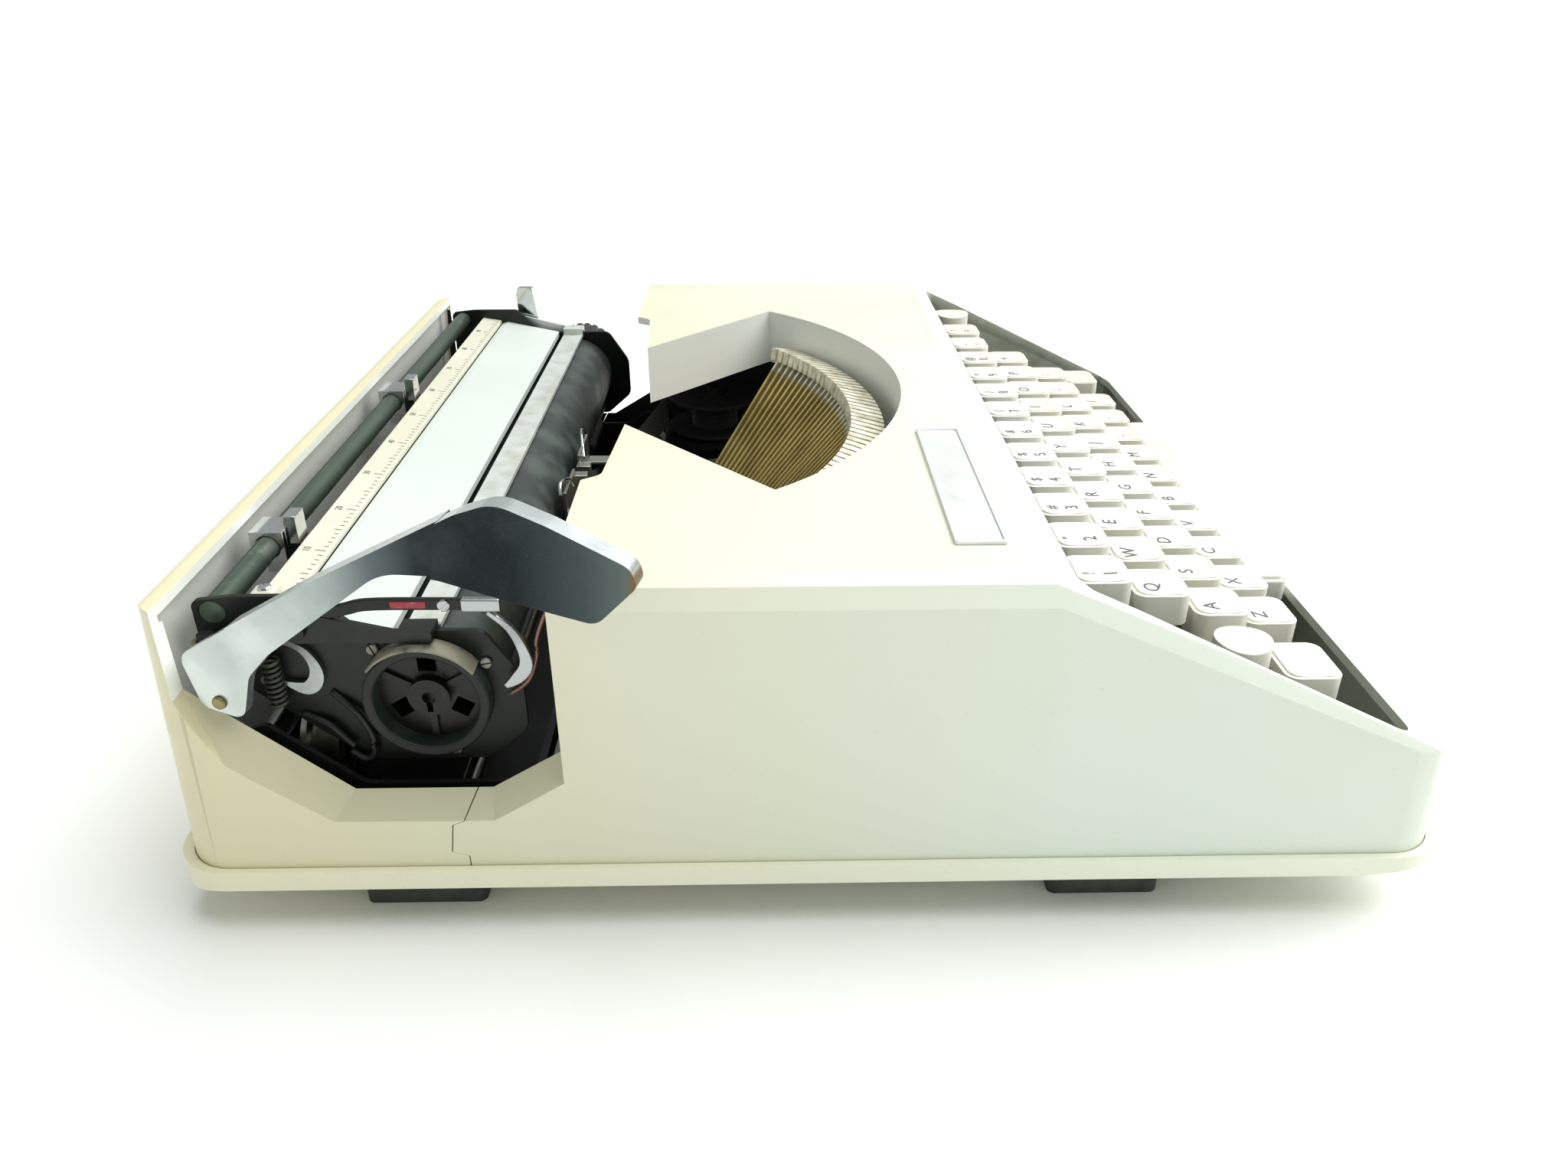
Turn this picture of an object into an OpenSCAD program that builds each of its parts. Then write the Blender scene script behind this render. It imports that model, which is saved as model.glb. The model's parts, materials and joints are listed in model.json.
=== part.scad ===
/* [Case] */
// Half the width of the covers
cover_half_w = 140; // [138:1:142]
// Half the depth of the covers at their foot
cover_half_d = 155; // [154:0.5:156]
// Height of the flat top above the ground
top_z = 94; // [93:0.5:95]
// Wall of the moulded covers
wall = 2.5; // [2:0.25:3]
// Radius of the upright corners
corner_r = 13; // [10:1:16]
// Draft of the front and rear walls, in degrees
draft = 3.1; // [2.5:0.1:3.5]
// Height of the feet, which is also the underside of the tray
foot_h = 10; // [8:1:10]

/* [Keyboard] */
// Distance between two keys of a row
key_pitch = 18.9; // [18.5:0.1:19]
// Width of a key cap
cap_w = 14.8; // [14:0.1:15.2]
// Depth of a key cap
cap_d = 13.9; // [13:0.1:14]
// Height of a key cap's skirt
cap_h = 9; // [8:0.5:10]
// Thickness of a key lever
lever_t = 1.6; // [1.4:0.1:1.8]

/* [Type basket] */
// Number of typebars
typebar_count = 44; // [40:2:46]
// Angle between the outermost typebars
basket_angle = 76; // [70:1:78]
// Thickness of a typebar
bar_t = 1.2; // [1:0.1:1.3]

/* [Carriage] */
// Radius of the platen
platen_r = 15; // [14:0.5:15]
// Left end of the platen
platen_left = -128; // [-128:1:-126]
// Right end of the platen
platen_right = 130; // [128:1:130]
// Radius of the carriage rods
rod_r = 3; // [2.5:0.25:3]

/* [Hidden] */

$fn = 48;
fit = 0.08;         // radial running clearance of a shaft in its bore
gap = 0.4;          // free space between pieces that pass each other
far = 400;          // longer than anything that is cut

// Case
tray_half_w = cover_half_w + 2;
tray_half_d = cover_half_d + 3;
tray_top = 18;
floor_top = foot_h + wall;
tray_front = [[-146, 13.6], [-124, 11.4], [-104, foot_h]];  // underside, rising towards the front edge
cover_foot = tray_top - 1.5;            // underside of the covers, let into the tray
slope = 0.485;                          // rise over run of the keyboard's slope
slope_angle = atan(slope);
slope_front = [-150, 46];               // a point of the slope's plane
slope_rear_y = slope_front[0] + (top_z - slope_front[1]) / slope;
shoulder_w = 6.8;
shoulder_h = 6.2;                       // of the shoulder along the flat top
slope_shoulder_h = 5.2;                 // at the upper end of the slope, where it starts
slope_shoulder_angle = 24;              // flatter than the slope, so the shoulder fades out forwards
strip_z = 88;                           // top of the strip behind the carriage
strip_front = 136;
cut_front = 59.5;                       // front edge of the carriage cut-outs
cut_inner = [[cut_front, 120], [cut_front, 47.9], [77.7, 37], [110.5, 37], [144.6, 65.8], [145.2, 120]];
cut_outer = [[cut_front, 120], [cut_front, 41.3], [76.8, 30.7], [115.3, 31], [135.4, 45.8],
             [145.3, 65], [145.6, 120]];
cut_x = 134;                            // where the funnel of a cut-out ends
seam = [[84, 0], [84, 21], [88, 22.2], [86.8, 30.4], [84, 31.5], [78.6, 42]];  // between the covers
seam_end = 78.4;                        // y of its upper end, at the cut-out

// Keyboard
fulcrum = [60, 34];                     // y and z of the rod that every key turns on
fulcrum_r = 2;
lever_fit = 0.06;                       // radial clearance of the key levers on that rod
lever_rise = 0.08;
lever_h = 4;
dish_r = 40;                            // radius and depth of the hollow in a cap's top
dish_depth = 1.1;
cap_dish = 2.7;                         // from the top of a cap down to the underside of its roof
row_y = [-66, -83.5, -101, -118.5];
row_z = [87, 79, 71, 63];
row_x = [-117.6, -109.6, -104.8, -95.4];
row_count = [12, 11, 11, 10];
center_index = 5;                       // the articulated key in the third row
space_y = -133.5;
space_z = 56;
space_half = 66;
space_arm_x = [row_x[0] + 10.4 + 3 * key_pitch, row_x[0] + 10.4 + 8 * key_pitch];
shift_x = [-120.5, 104];
lock_x = -124;
backspace_x = 114;
dip = [47, 17.4];                       // rear end of a lever's low run, under the type basket

// Type basket
fan_y = 100;                            // centre of the basket's arcs
pivot_r = 81.8;
pivot_z = 34;
segment_bottom = 29.3;                  // stays clear of the levers when the basket is shifted down
slug_r = 121;
slug_z = 81;
slug_tilt = 14;                         // makes the type face upright when the bar strikes
bar_rest = atan2(slug_z - pivot_z, slug_r - pivot_r);
bar_len = norm([slug_z - pivot_z, slug_r - pivot_r]);
bar_step = basket_angle / (typebar_count - 1);
center_bar = floor(typebar_count / 2);
spool_x = 100;
spool_y = 32;
spool_bottom = 43.5;
spool_top = 57;
ribbon_bottom = spool_bottom + 0.6;
vibrator_foot = ribbon_bottom - 9.2;    // low enough to stay under the ribbon when the vibrator lifts

// Carriage
axis_y = 92.5;
axis_z = 57;
end_left = -124;                        // outer face of the left end plate
end_right = 132.5;                      // outer face of the right end plate
plate_t = 1.5;
knob_end = 159.7;
web_y = 112;
flange_z = 64;
rail_rear = [131, 47];
rail_front = [86, 31];
front_rod_r = rod_r - 0.5;
shoe_x = 22;                            // centres of the shoes on the rear rod
frame_x = 127.4;                        // inner face of the side frames
margin_axis = [139, 80];
margin_r = 3;
bail_pivot = [119, 77];
rack_y = 117.6;
wheel_teeth = 30;
tooth_pitch = 2.54;
wheel_r = wheel_teeth * tooth_pitch / (2 * PI);
wheel_z = 43.9;
lever_pin = [-136, 134.8, 64.4];
lever_yaw = 12;                         // the lever leans outwards from its pin
bracket_at = [-128.5, 139.5];           // upright axis of the lever bracket
release_pivot = [109.5, 65.5];

// ---- Helpers ----

// Corner p1 between p0 and p2, rounded with radius r in n steps
function arc_corner(p0, p1, p2, r, n) =
    let (a = (p0 - p1) / norm(p0 - p1), b = (p2 - p1) / norm(p2 - p1),
         half = acos(a * b) / 2, c = p1 + (a + b) / norm(a + b) * r / sin(half),
         s = p1 + a * r / tan(half) - c, e = p1 + b * r / tan(half) - c,
         a0 = atan2(s[1], s[0]), d = atan2(s[0] * e[1] - s[1] * e[0], s * e))
    [for (i = [0:n]) c + r * [cos(a0 + d * i / n), sin(a0 + d * i / n)]];

// Outline through points [x, y, radius], where a radius of 0 is a sharp corner
function rounded(p, n = 6) =
    [for (i = [0:len(p) - 1])
        let (k = len(p), q = [for (v = p) [v[0], v[1]]])
        each p[i][2] == 0 ? [q[i]] : arc_corner(q[(i + k - 1) % k], q[i], q[(i + 1) % k], p[i][2], n)];

// Extrudes a (y, z) outline from x0 to x1
module along_x(x0, x1) translate([x0, 0, 0]) rotate([90, 0, 90]) linear_extrude(x1 - x0) children();

// Extrudes an (x, z) outline from y0 to y1
module along_y(y0, y1) translate([0, y1, 0]) rotate([90, 0, 0]) linear_extrude(y1 - y0) children();

module rod_x(x0, x1, r, y, z) translate([x0, y, z]) rotate([0, 90, 0]) cylinder(h = x1 - x0, r = r);

module rod_y(y0, y1, r, x, z) translate([x, y0, z]) rotate([-90, 0, 0]) cylinder(h = y1 - y0, r = r);

module box(x0, x1, y0, y1, z0, z1) translate([x0, y0, z0]) cube([x1 - x0, y1 - y0, z1 - z0]);

module both_sides() {
    children();
    mirror([1, 0, 0]) children();
}

function plan(hw, hd, r) = rounded([[-hw, -hd, r], [hw, -hd, r], [hw, hd, r], [-hw, hd, r]], 8);

// ---- Case ----

module base_tray() color("ivory") difference() {
    intersection() {
        translate([0, 0, foot_h]) linear_extrude(tray_top - foot_h)
            polygon(plan(tray_half_w, tray_half_d, corner_r + 2));
        along_x(-tray_half_w, tray_half_w)
            polygon(concat([[-tray_half_d, 20], [-tray_half_d, 16]], tray_front,
                           [[152, foot_h], [tray_half_d, floor_top], [tray_half_d, 20]]));
        along_y(-tray_half_d, tray_half_d)
            polygon([[-tray_half_w, 20], [-tray_half_w, floor_top], [-137, foot_h], [137, foot_h],
                     [tray_half_w, floor_top], [tray_half_w, 20]]);
    }
    intersection() {
        translate([0, 0, foot_h]) linear_extrude(tray_top) polygon(plan(136.5, 150.5, corner_r - 3));
        along_x(-far, far)
            polygon(concat([[-154, 30], [-154, 18.6]], [for (p = tray_front) p + [0, wall]],
                           [[154, floor_top], [154, 30]]));
    }
    // ledge that the covers stand on
    translate([0, 0, cover_foot]) linear_extrude(5)
        polygon(plan(cover_half_w + 0.1, cover_half_d + 0.2, corner_r));
}

module rubber_feet() color("dimgray") both_sides() for (f = [[-74, 30], [99, 32]])
    translate([-127, f[0], 0]) {
        linear_extrude(foot_h - 3) polygon(plan(6.4, f[1] / 2 - 0.8, 2));
        translate([0, 0, foot_h - 3]) linear_extrude(3) polygon(plan(7, f[1] / 2, 2));
    }

module case_screws() color("silver") both_sides() for (y = [-100, 60])
    translate([-108, y, foot_h - 1.6]) difference() {
        cylinder(h = 1.6, r = 4);
        translate([-4, -0.5, -0.1]) cube([8, 1, 0.9]);
    }

// Soft shoulder of depth h along the upper side edge whose line starts at (y, z) and rises at an angle
module edge_shoulder(y, z, angle, half_w, h) both_sides() translate([0, y, z]) rotate([angle, 0, 0])
    translate([0, 130, 0]) rotate([90, 0, 0]) linear_extrude(260)
        polygon([[half_w - shoulder_w, 0], [half_w - 0.45 * shoulder_w, -0.3 * h], [half_w, -h],
                 [half_w + 4, -h - 9], [half_w + 9, 9], [half_w - shoulder_w, 9]]);

// Half depth at height z of the surface that lies t inside the covers
function half_depth(z, t) = cover_half_d - t / cos(draft) - (z - cover_foot) * tan(draft);

// Corner (y, z) where the front wall meets the slope, t inside the covers
function nose(t) =
    let (lift = slope_front[1] - slope * slope_front[0] - t / cos(slope_angle),
         y = (-half_depth(lift, t)) / (1 - slope * tan(draft)))
    [y, lift + slope * y];

// Rounds the upright corners of the volume that lies t inside the covers
module upright_corners(t) both_sides() for (m = [0, 1]) mirror([0, m, 0])
    translate([cover_half_w - t, half_depth(cover_foot, t), cover_foot]) rotate([draft, 0, 0])
        translate([t - corner_r, t - corner_r, -20]) linear_extrude(140) difference() {
            square(corner_r + 5);
            circle(r = corner_r - t);
        }

// Outer volume of both covers, or with t the volume t inside it
module cover_volume(t) {
    bottom = t > 0 ? cover_foot - 3.5 : cover_foot;
    side = rounded([
        [-half_depth(bottom, t), bottom, 0],
        [nose(t)[0], nose(t)[1], 7 - t],
        [slope_rear_y + t / tan((180 - slope_angle) / 2), top_z - t, 16],
        [100, top_z - t, 0], [130, strip_z - t, 0],
        [half_depth(strip_z - t, t), strip_z - t, 4 - t / 2], [half_depth(bottom, t), bottom, 0]]);
    difference() {
        along_x(-cover_half_w + t, cover_half_w - t) polygon(side);
        upright_corners(t);
        edge_shoulder(slope_rear_y, top_z - t, 0, cover_half_w - t, shoulder_h);
        edge_shoulder(slope_rear_y, top_z - t, slope_shoulder_angle, cover_half_w - t, slope_shoulder_h);
    }
}

// Removes the whole space of the carriage, out through both side walls
module carriage_well() {
    both_sides() hull() {
        along_x(-cut_x - 0.01, -cut_x) polygon(cut_inner);
        along_x(-cover_half_w - 1.01, -cover_half_w - 1) polygon(cut_outer);
    }
    along_x(-cut_x, cut_x) polygon(cut_inner);
}

// The walls that lead from the side walls in to the cut-outs
module funnel_walls() both_sides() along_x(-cover_half_w + wall - 0.5, -cut_x) difference() {
    top = top_z - shoulder_h;
    polygon([[cut_front - 2.2, top], [cut_front - 2.2, 38.6], [76.2, 28], [116.2, 28],
             [137.2, 43.8], [147.4, 64], [147.4, 83.5], [142, 83.5], [142, top]]);
    polygon(cut_inner);
}

module front_side_of_seam() along_x(-far, far)
    polygon(concat([[-far, 0]], seam, [[78.6, 60], [100, 60], [100, 120], [-far, 120]]));

module type_opening() translate([0, 0, top_z - 30]) linear_extrude(60) difference() {
    polygon(rounded([[-38, 53, 0], [-93, 5, 12], [-70, -60, 0], [70, -60, 0], [93, 5, 12], [38, 53, 0],
                     [38, 70, 0], [-38, 70, 0]]));
    difference() {
        translate([-150, -150]) square([300, 190]);
        translate([0, 83.4]) circle(r = 115, $fn = 96);
    }
}

module top_rear_edge() translate([0, 0, top_z - 30]) linear_extrude(60)
    polygon(rounded([[-far, 64, 0], [-83, 62.8, 3], [-77, 54.6, 4], [-33, 52, 0], [33, 52, 0], [77, 54.6, 4],
                     [83, 62.8, 3], [far, 64, 0], [far, 130, 0], [-far, 130, 0]]));

// Skirt that hangs round the type opening
module type_skirt() intersection() {
    translate([0, 0, top_z - 20]) linear_extrude(19) difference() {
        circle_skirt(wall);
        circle_skirt(0);
    }
    cover_volume(0.5);
}

module circle_skirt(t) difference() {
    intersection() {
        polygon(rounded([[-38 + t * 0.6, 53 + t, 0], [-93 - t, 5, 12 + t], [-70, -60, 0], [70, -60, 0],
                         [93 + t, 5, 12 + t], [38 - t * 0.6, 53 + t, 0]]));
        translate([0, 83.4]) circle(r = 115 + t, $fn = 96);
    }
    translate([-38 + t * 0.6, 52]) square([76 - t * 1.2, 20]);
}

module keyboard_opening() translate([0, 0, 30]) linear_extrude(90)
    polygon(rounded([[-136.4, -141.2, 5], [136.4, -141.2, 5], [134.6, -57, 4], [-134.6, -57, 4]]));

module top_cover() color("ivory") difference() {
    union() {
        difference() {
            cover_volume(0);
            cover_volume(wall);
        }
        intersection() {
            funnel_walls();
            cover_volume(0.4);
        }
        type_skirt();
    }
    carriage_well();
    type_opening();
    top_rear_edge();
    keyboard_opening();
    difference() {
        along_x(-far, far) translate([50, 0]) square([far, far]);
        front_side_of_seam();
    }
    // nothing stands above the seam's upper end
    box(-far, far, seam_end - 0.2, 100, 41, 130);
}

module rear_cover() color("ivory") difference() {
    union() {
        difference() {
            cover_volume(0);
            cover_volume(wall);
        }
        intersection() {
            funnel_walls();
            cover_volume(0.4);
        }
    }
    carriage_well();
    translate([0, 0.3, 0]) front_side_of_seam();
    box(-far, far, -far, strip_front, 60, 130);
    box(-far, far, -far, seam_end, 0, 130);
}

module badge_plate() color("silver") translate([-83.5, -37.5, top_z]) {
    linear_extrude(0.5) polygon(plan(37.5, 6.2, 1));
    translate([0, 0, 0.5]) linear_extrude(0.4) difference() {
        polygon(plan(37.5, 6.2, 1));
        polygon(plan(36.5, 5.2, 0.5));
    }
}

// ---- Chassis ----

module side_frame(x) color("gray") difference() {
    along_x(x, x + plate_t) polygon(rounded([
        [-48, floor_top, 0], [136, floor_top, 0], [137.5, 50, 3], [131, 52.2, 2], [110, 34.6, 4],
        [70, 34.6, 4], [64, 39.5, 3], [56, 39.5, 3], [46, 26, 6], [-40, 24, 4], [-48, 20, 2]]));
    for (w = [[rail_rear, rod_r], [rail_front, front_rod_r], [fulcrum, fulcrum_r]])
        rod_x(x - 1, x + 5, w[1], w[0][0], w[0][1]);
    along_x(x - 1, x + 5) for (y = [-20, 20, 105]) translate([y, 20]) circle(r = 3.5);
}

module side_frame_left() side_frame(-frame_x - plate_t);

module side_frame_right() side_frame(frame_x);

module cross_members() color("gray") {
    box(-frame_x, frame_x, -48, -30, floor_top, floor_top + 1.4);
    difference() {
        box(-frame_x, frame_x, 70, 72, floor_top, 27);
        for (x = [-90:30:90]) rod_y(60, 80, 5, x, 19.5);
    }
}

module key_comb() color("gray") difference() {
    box(-frame_x, frame_x, -46, -44.4, floor_top + 1.4, 34);
    for (x = all_lanes()) box(x - lever_t / 2 - gap, x + lever_t / 2 + gap, -50, -40, floor_top + 1.5, 30);
}

module fulcrum_rod() color("silver")
    rod_x(-frame_x - plate_t, frame_x + plate_t, fulcrum_r, fulcrum[0], fulcrum[1]);

module rear_rail() color("silver")
    rod_x(-frame_x - plate_t, frame_x + plate_t, rod_r, rail_rear[0], rail_rear[1]);

module front_rail() color("silver")
    rod_x(-frame_x - plate_t, frame_x + plate_t, front_rod_r, rail_front[0], rail_front[1]);

module spool_deck() color("dimgray") both_sides() {
    difference() {
        translate([-spool_x, spool_y, spool_bottom - 3.5]) cylinder(h = 2, r = 21);
        translate([-spool_x, spool_y, 30]) for (a = [0:60:300]) rotate(a)
            translate([12, 0, 0]) cylinder(h = 30, r = 2.5);
    }
    translate([-spool_x, spool_y, spool_bottom - 1.5]) cylinder(h = 1.3, r = 4);
    translate([-spool_x, spool_y, spool_bottom - 1.5]) cylinder(h = 18, r = 2.5);
    box(-frame_x, -118, 22, 42, spool_bottom - 3.5, spool_bottom - 1.5);
    box(-frame_x, -frame_x + 1.5, 26, 38, 26, spool_bottom - 3.5);
    // slotted block that guides the type basket up and down
    difference() {
        box(-64.5, -57.5, 43.5, 48, 25, spool_bottom - 1.5);
        box(-62.5, -59.5, 43, 46.4, 20, 50);
    }
    // ribbon guide post
    box(-90, -28, 48, 52, spool_bottom - 3.5, spool_bottom - 1.5);
    box(-34, -29, 48, 64.6, spool_bottom - 3.5, spool_bottom - 1.5);
    translate([-31, 63, spool_bottom - 1.5]) cylinder(h = 17, r = 1.5);
}

// The ribbon runs from spool to spool round two posts and past the printing point
module ribbon() color("black") both_sides() translate([0, 0, ribbon_bottom]) linear_extrude(12.2) {
    ribbon_run([-100, 51.5], [-32.3, 64.9]);
    ribbon_run([-32.3, 64.9], [-10, 75.9]);
    ribbon_run([-10, 75.9], [0, 75.9]);
}

module ribbon_run(a, b) {
    d = (b - a) / norm(b - a);
    n = [-d[1], d[0]] * 0.12;
    polygon([a - n - d * 0.1, b - n + d * 0.1, b + n + d * 0.1, a + n - d * 0.1]);
}

module type_guide() color("silver") {
    both_sides() {
        box(-6, -2, 70, 74.6, 59, 64.5);
        box(-26, -6, 73.6, 74.6, 59, 67);
        box(-26, -20, 66, 74.6, 58, 59);
        box(-26, -20, 66, 67.5, 27, 58);
    }
    box(-26, 26, 66, 67.5, 27, 36);
}

module bell() color("silver") translate([86, 116, floor_top]) {
    cylinder(h = 4, r = 3);
    translate([0, 0, 4]) difference() {
        intersection() {
            sphere(r = 14);
            cylinder(h = 14, r = 14);
        }
        translate([0, 0, -0.1]) intersection() {
            sphere(r = 12.6);
            cylinder(h = 20, r = 13);
        }
    }
    cylinder(h = 17, r = 1.5);
}

module rear_brackets() color("gray") {
    // holder of the escapement wheel
    difference() {
        union() {
            box(-15, 15, 121.2, 122.7, floor_top, 50);
            box(-15, 15, 112, 121.2, floor_top, floor_top + 1.5);
        }
        box(-8, 8, 100, 130, 18, 34);
    }
    rod_y(115.6, 122.7, 2, 0, wheel_z);
    // holder of the mainspring drum
    box(-112, -88, 136, 137.5, floor_top, 42);
    rod_y(118, 136, 2.5, -100, 28);
}

// ---- Type basket ----

// Repeats a shape that lies in the plane x = 0, with y measured forwards from the fan's centre
module fan(i) translate([0, fan_y, 0]) rotate([0, 0, (i - center_bar) * bar_step]) children();

module typebar() {
    lean = [cos(bar_rest), sin(bar_rest)];
    across = [-lean[1], lean[0]];
    p = [pivot_r, pivot_z];
    tip = p + lean * (bar_len - 2);
    difference() {
        union() {
            translate([-bar_t / 2, 0, 0]) rotate([90, 0, -90]) translate([0, 0, -bar_t])
                linear_extrude(bar_t) union() {
                    polygon([p + across * 3, p - across * 3, tip - across * 1.6, tip + across * 1.6]);
                    translate(p) circle(r = 3);
                }
            translate([0, -slug_r, slug_z]) rotate([slug_tilt, 0, 0]) cube([2.6, 11, 4.4], center = true);
        }
        rod_x(-3, 3, 1.06, -pivot_r, pivot_z);
    }
}

module typebars() color("goldenrod") for (i = [0:typebar_count - 1]) if (i != center_bar) fan(i) typebar();

module center_typebar() color("goldenrod") fan(center_bar) typebar();

// Turns a profile of (distance from the fan's centre, z) through the arc of the segment
module segment_sweep() translate([0, fan_y, 0]) rotate([0, 0, -90 - basket_angle / 2 - 3])
    rotate_extrude(angle = basket_angle + 6, $fn = 96) children();

module type_segment() color("gray") {
    difference() {
        segment_sweep() translate([pivot_r - 5, segment_bottom]) square([10, pivot_z + 3 - segment_bottom]);
        for (i = [0:typebar_count - 1]) fan(i)
            translate([-bar_t / 2 - 0.15, -pivot_r - 10, segment_bottom + 1.3]) cube([bar_t + 0.3, 20, 20]);
    }
    segment_sweep() translate([pivot_r, pivot_z]) circle(r = 1, $fn = 24);
    // wings that slide in the guide blocks
    both_sides() {
        box(-62.2, -59.8, 36, 46, 31, 36);
        box(-62.2, -51, 36, 41, 31, 36);
    }
}

// ---- Keyboard ----

function lane(row, i) = row_x[row] + key_pitch * i;

function all_lanes() = concat(
    [for (r = [0:3]) for (i = [0:row_count[r] - 1]) lane(r, i)],
    shift_x, [lock_x, backspace_x], space_arm_x);

// Hollows the top of a cap for the finger
module dish(w) translate([-w, 0, cap_h - dish_depth + dish_r]) rotate([0, 90, 0])
    cylinder(h = 2 * w, r = dish_r, $fn = 120);

module key_cap(w, d, z) translate([0, 0, z - cap_h]) difference() {
    union() {
        linear_extrude(cap_h - 1.2) polygon(plan(w / 2, d / 2, 3.2));
        linear_extrude(cap_h) polygon(plan(w / 2 - 1, d / 2 - 1, 2.6));
    }
    dish(w);
    translate([0, 0, -1]) linear_extrude(cap_h - cap_dish + 1) polygon(plan(w / 2 - 1.4, d / 2 - 1.4, 2));
}

// Lever from the fulcrum to a stem that stands under the cap at y, whose top is at z
module key_lever(x, y, z) difference() {
    front = dip[1] + lever_rise * (dip[0] - y);
    top = z - cap_dish;
    along_x(x - lever_t / 2, x + lever_t / 2) polygon([
        [fulcrum[0] + 3, fulcrum[1] - 3.5], [fulcrum[0] + 3, fulcrum[1] + 3],
        [fulcrum[0] - 4, fulcrum[1] + 3],
        [dip[0] - 1, dip[1] + lever_h], [y + 3, front + lever_h], [y + 3, top], [y - 3, top], [y - 3, front],
        [dip[0] + 1, dip[1]]]);
    rod_x(x - 2, x + 2, fulcrum_r + lever_fit, fulcrum[0], fulcrum[1]);
}

module row_caps(r) for (i = [0:row_count[r] - 1]) if (r != 2 || i != center_index)
    translate([lane(r, i), row_y[r], 0]) key_cap(cap_w, cap_d, row_z[r]);

module row_levers(r) for (i = [0:row_count[r] - 1]) if (r != 2 || i != center_index)
    key_lever(lane(r, i), row_y[r], row_z[r]);

module caps_row_1() color("white") row_caps(0);
module caps_row_2() color("white") row_caps(1);
module caps_row_3() color("white") row_caps(2);
module caps_row_4() color("white") row_caps(3);
module levers_row_1() color("silver") row_levers(0);
module levers_row_2() color("silver") row_levers(1);
module levers_row_3() color("silver") row_levers(2);
module levers_row_4() color("silver") row_levers(3);

module center_cap() color("white")
    translate([lane(2, center_index), row_y[2], 0]) key_cap(cap_w, cap_d, row_z[2]);

module center_lever() color("silver") key_lever(lane(2, center_index), row_y[2], row_z[2]);

module space_bar() color("white") translate([0, space_y, 0]) difference() {
    translate([0, 0, space_z - 8]) union() {
        linear_extrude(6.8) polygon(plan(space_half, 5.5, 2.5));
        linear_extrude(8) polygon(plan(space_half - 1, 4.5, 2));
    }
    translate([0, 0, space_z - 10]) linear_extrude(10 - cap_dish) polygon(plan(space_half - 1.5, 4, 1.5));
}

module space_bar_arms() color("silver") for (x = space_arm_x) key_lever(x, space_y, space_z);

module shift_caps() color("white") for (x = shift_x) translate([x, row_y[3], 0]) key_cap(17, cap_d, row_z[3]);

module shift_levers() color("silver") {
    for (x = shift_x) key_lever(x, row_y[3], row_z[3]);
    // bail that ties both shift levers together behind the other keys
    tie = [fulcrum[1] - 2, fulcrum[1] + 2];
    box(shift_x[0] - lever_t / 2, shift_x[1] + lever_t / 2, fulcrum[0] + 4, fulcrum[0] + 5.6, tie[0], tie[1]);
    for (x = shift_x)
        box(x - lever_t / 2, x + lever_t / 2, fulcrum[0] + 2.9, fulcrum[0] + 4.1, tie[0], tie[1]);
}

module round_key(x, y, z) {
    translate([x, y, z - cap_h]) difference() {
        cylinder(h = cap_h, r = 6.8);
        dish(8);
        translate([0, 0, -1]) cylinder(h = cap_h - cap_dish + 1, r = 5.5);
    }
    key_lever(x, y, z + 0.2);
}

module lock_key() color("white") round_key(lock_x, row_y[2], row_z[2]);

module backspace_key() color("white") round_key(backspace_x, row_y[0], row_z[0]);

// ---- Ribbon and escapement ----

module spool(x) translate([x, spool_y, spool_bottom]) difference() {
    union() {
        cylinder(h = 1, r = 19);
        cylinder(h = spool_top - spool_bottom, r = x < 0 ? 14 : 9);
        translate([0, 0, spool_top - spool_bottom - 1]) cylinder(h = 1, r = 19);
    }
    translate([0, 0, -1]) cylinder(h = 20, r = 2.5 + fit);
    for (a = [0:120:240]) rotate(a) translate([5.5, 0, -1]) cylinder(h = 20, r = 1.4);
}

module spool_left() color("dimgray") spool(-spool_x);

module spool_right() color("dimgray") spool(spool_x);

module ribbon_vibrator() color("silver") {
    both_sides() {
        box(-9, -7, 74.9, 75.4, vibrator_foot, 58);
        box(-9, -7, 76.3, 76.8, vibrator_foot, 58);
        box(-9, -7, 74.9, 76.8, vibrator_foot, vibrator_foot + 1.8);
    }
    box(-9, 9, 74.9, 75.4, vibrator_foot, vibrator_foot + 4);
}

module escapement_wheel() color("goldenrod") difference() {
    translate([0, rack_y + 2, wheel_z]) rotate([90, 0, 0]) linear_extrude(2) polygon([
        for (i = [0:wheel_teeth - 1]) for (p = [[-5, -1], [-3, -1], [-1, 0.7], [1, 0.7], [3, -1]])
            let (a = 90 + i * 360 / wheel_teeth + p[0]) (wheel_r + p[1]) * [cos(a), sin(a)]]);
    rod_y(rack_y - 1, rack_y + 4, 2 + fit, 0, wheel_z);
    for (a = [0:72:288]) translate([0, 0, wheel_z]) rotate([0, a, 0])
        rod_y(rack_y - 1, rack_y + 4, 2, 0, 6.5);
}

module mainspring_drum() color("silver") difference() {
    union() {
        rod_y(122, 132, 12, -100, 28);
        rod_y(122, 123.5, 14, -100, 28);
        rod_y(130.5, 132, 14, -100, 28);
    }
    rod_y(120, 134, 2.5 + fit, -100, 28);
    for (a = [30:60:330]) translate([-100, 0, 28]) rotate([0, a, 0]) rod_y(120, 124.5, 2, 0, 8);
}

// ---- Carriage ----

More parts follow.
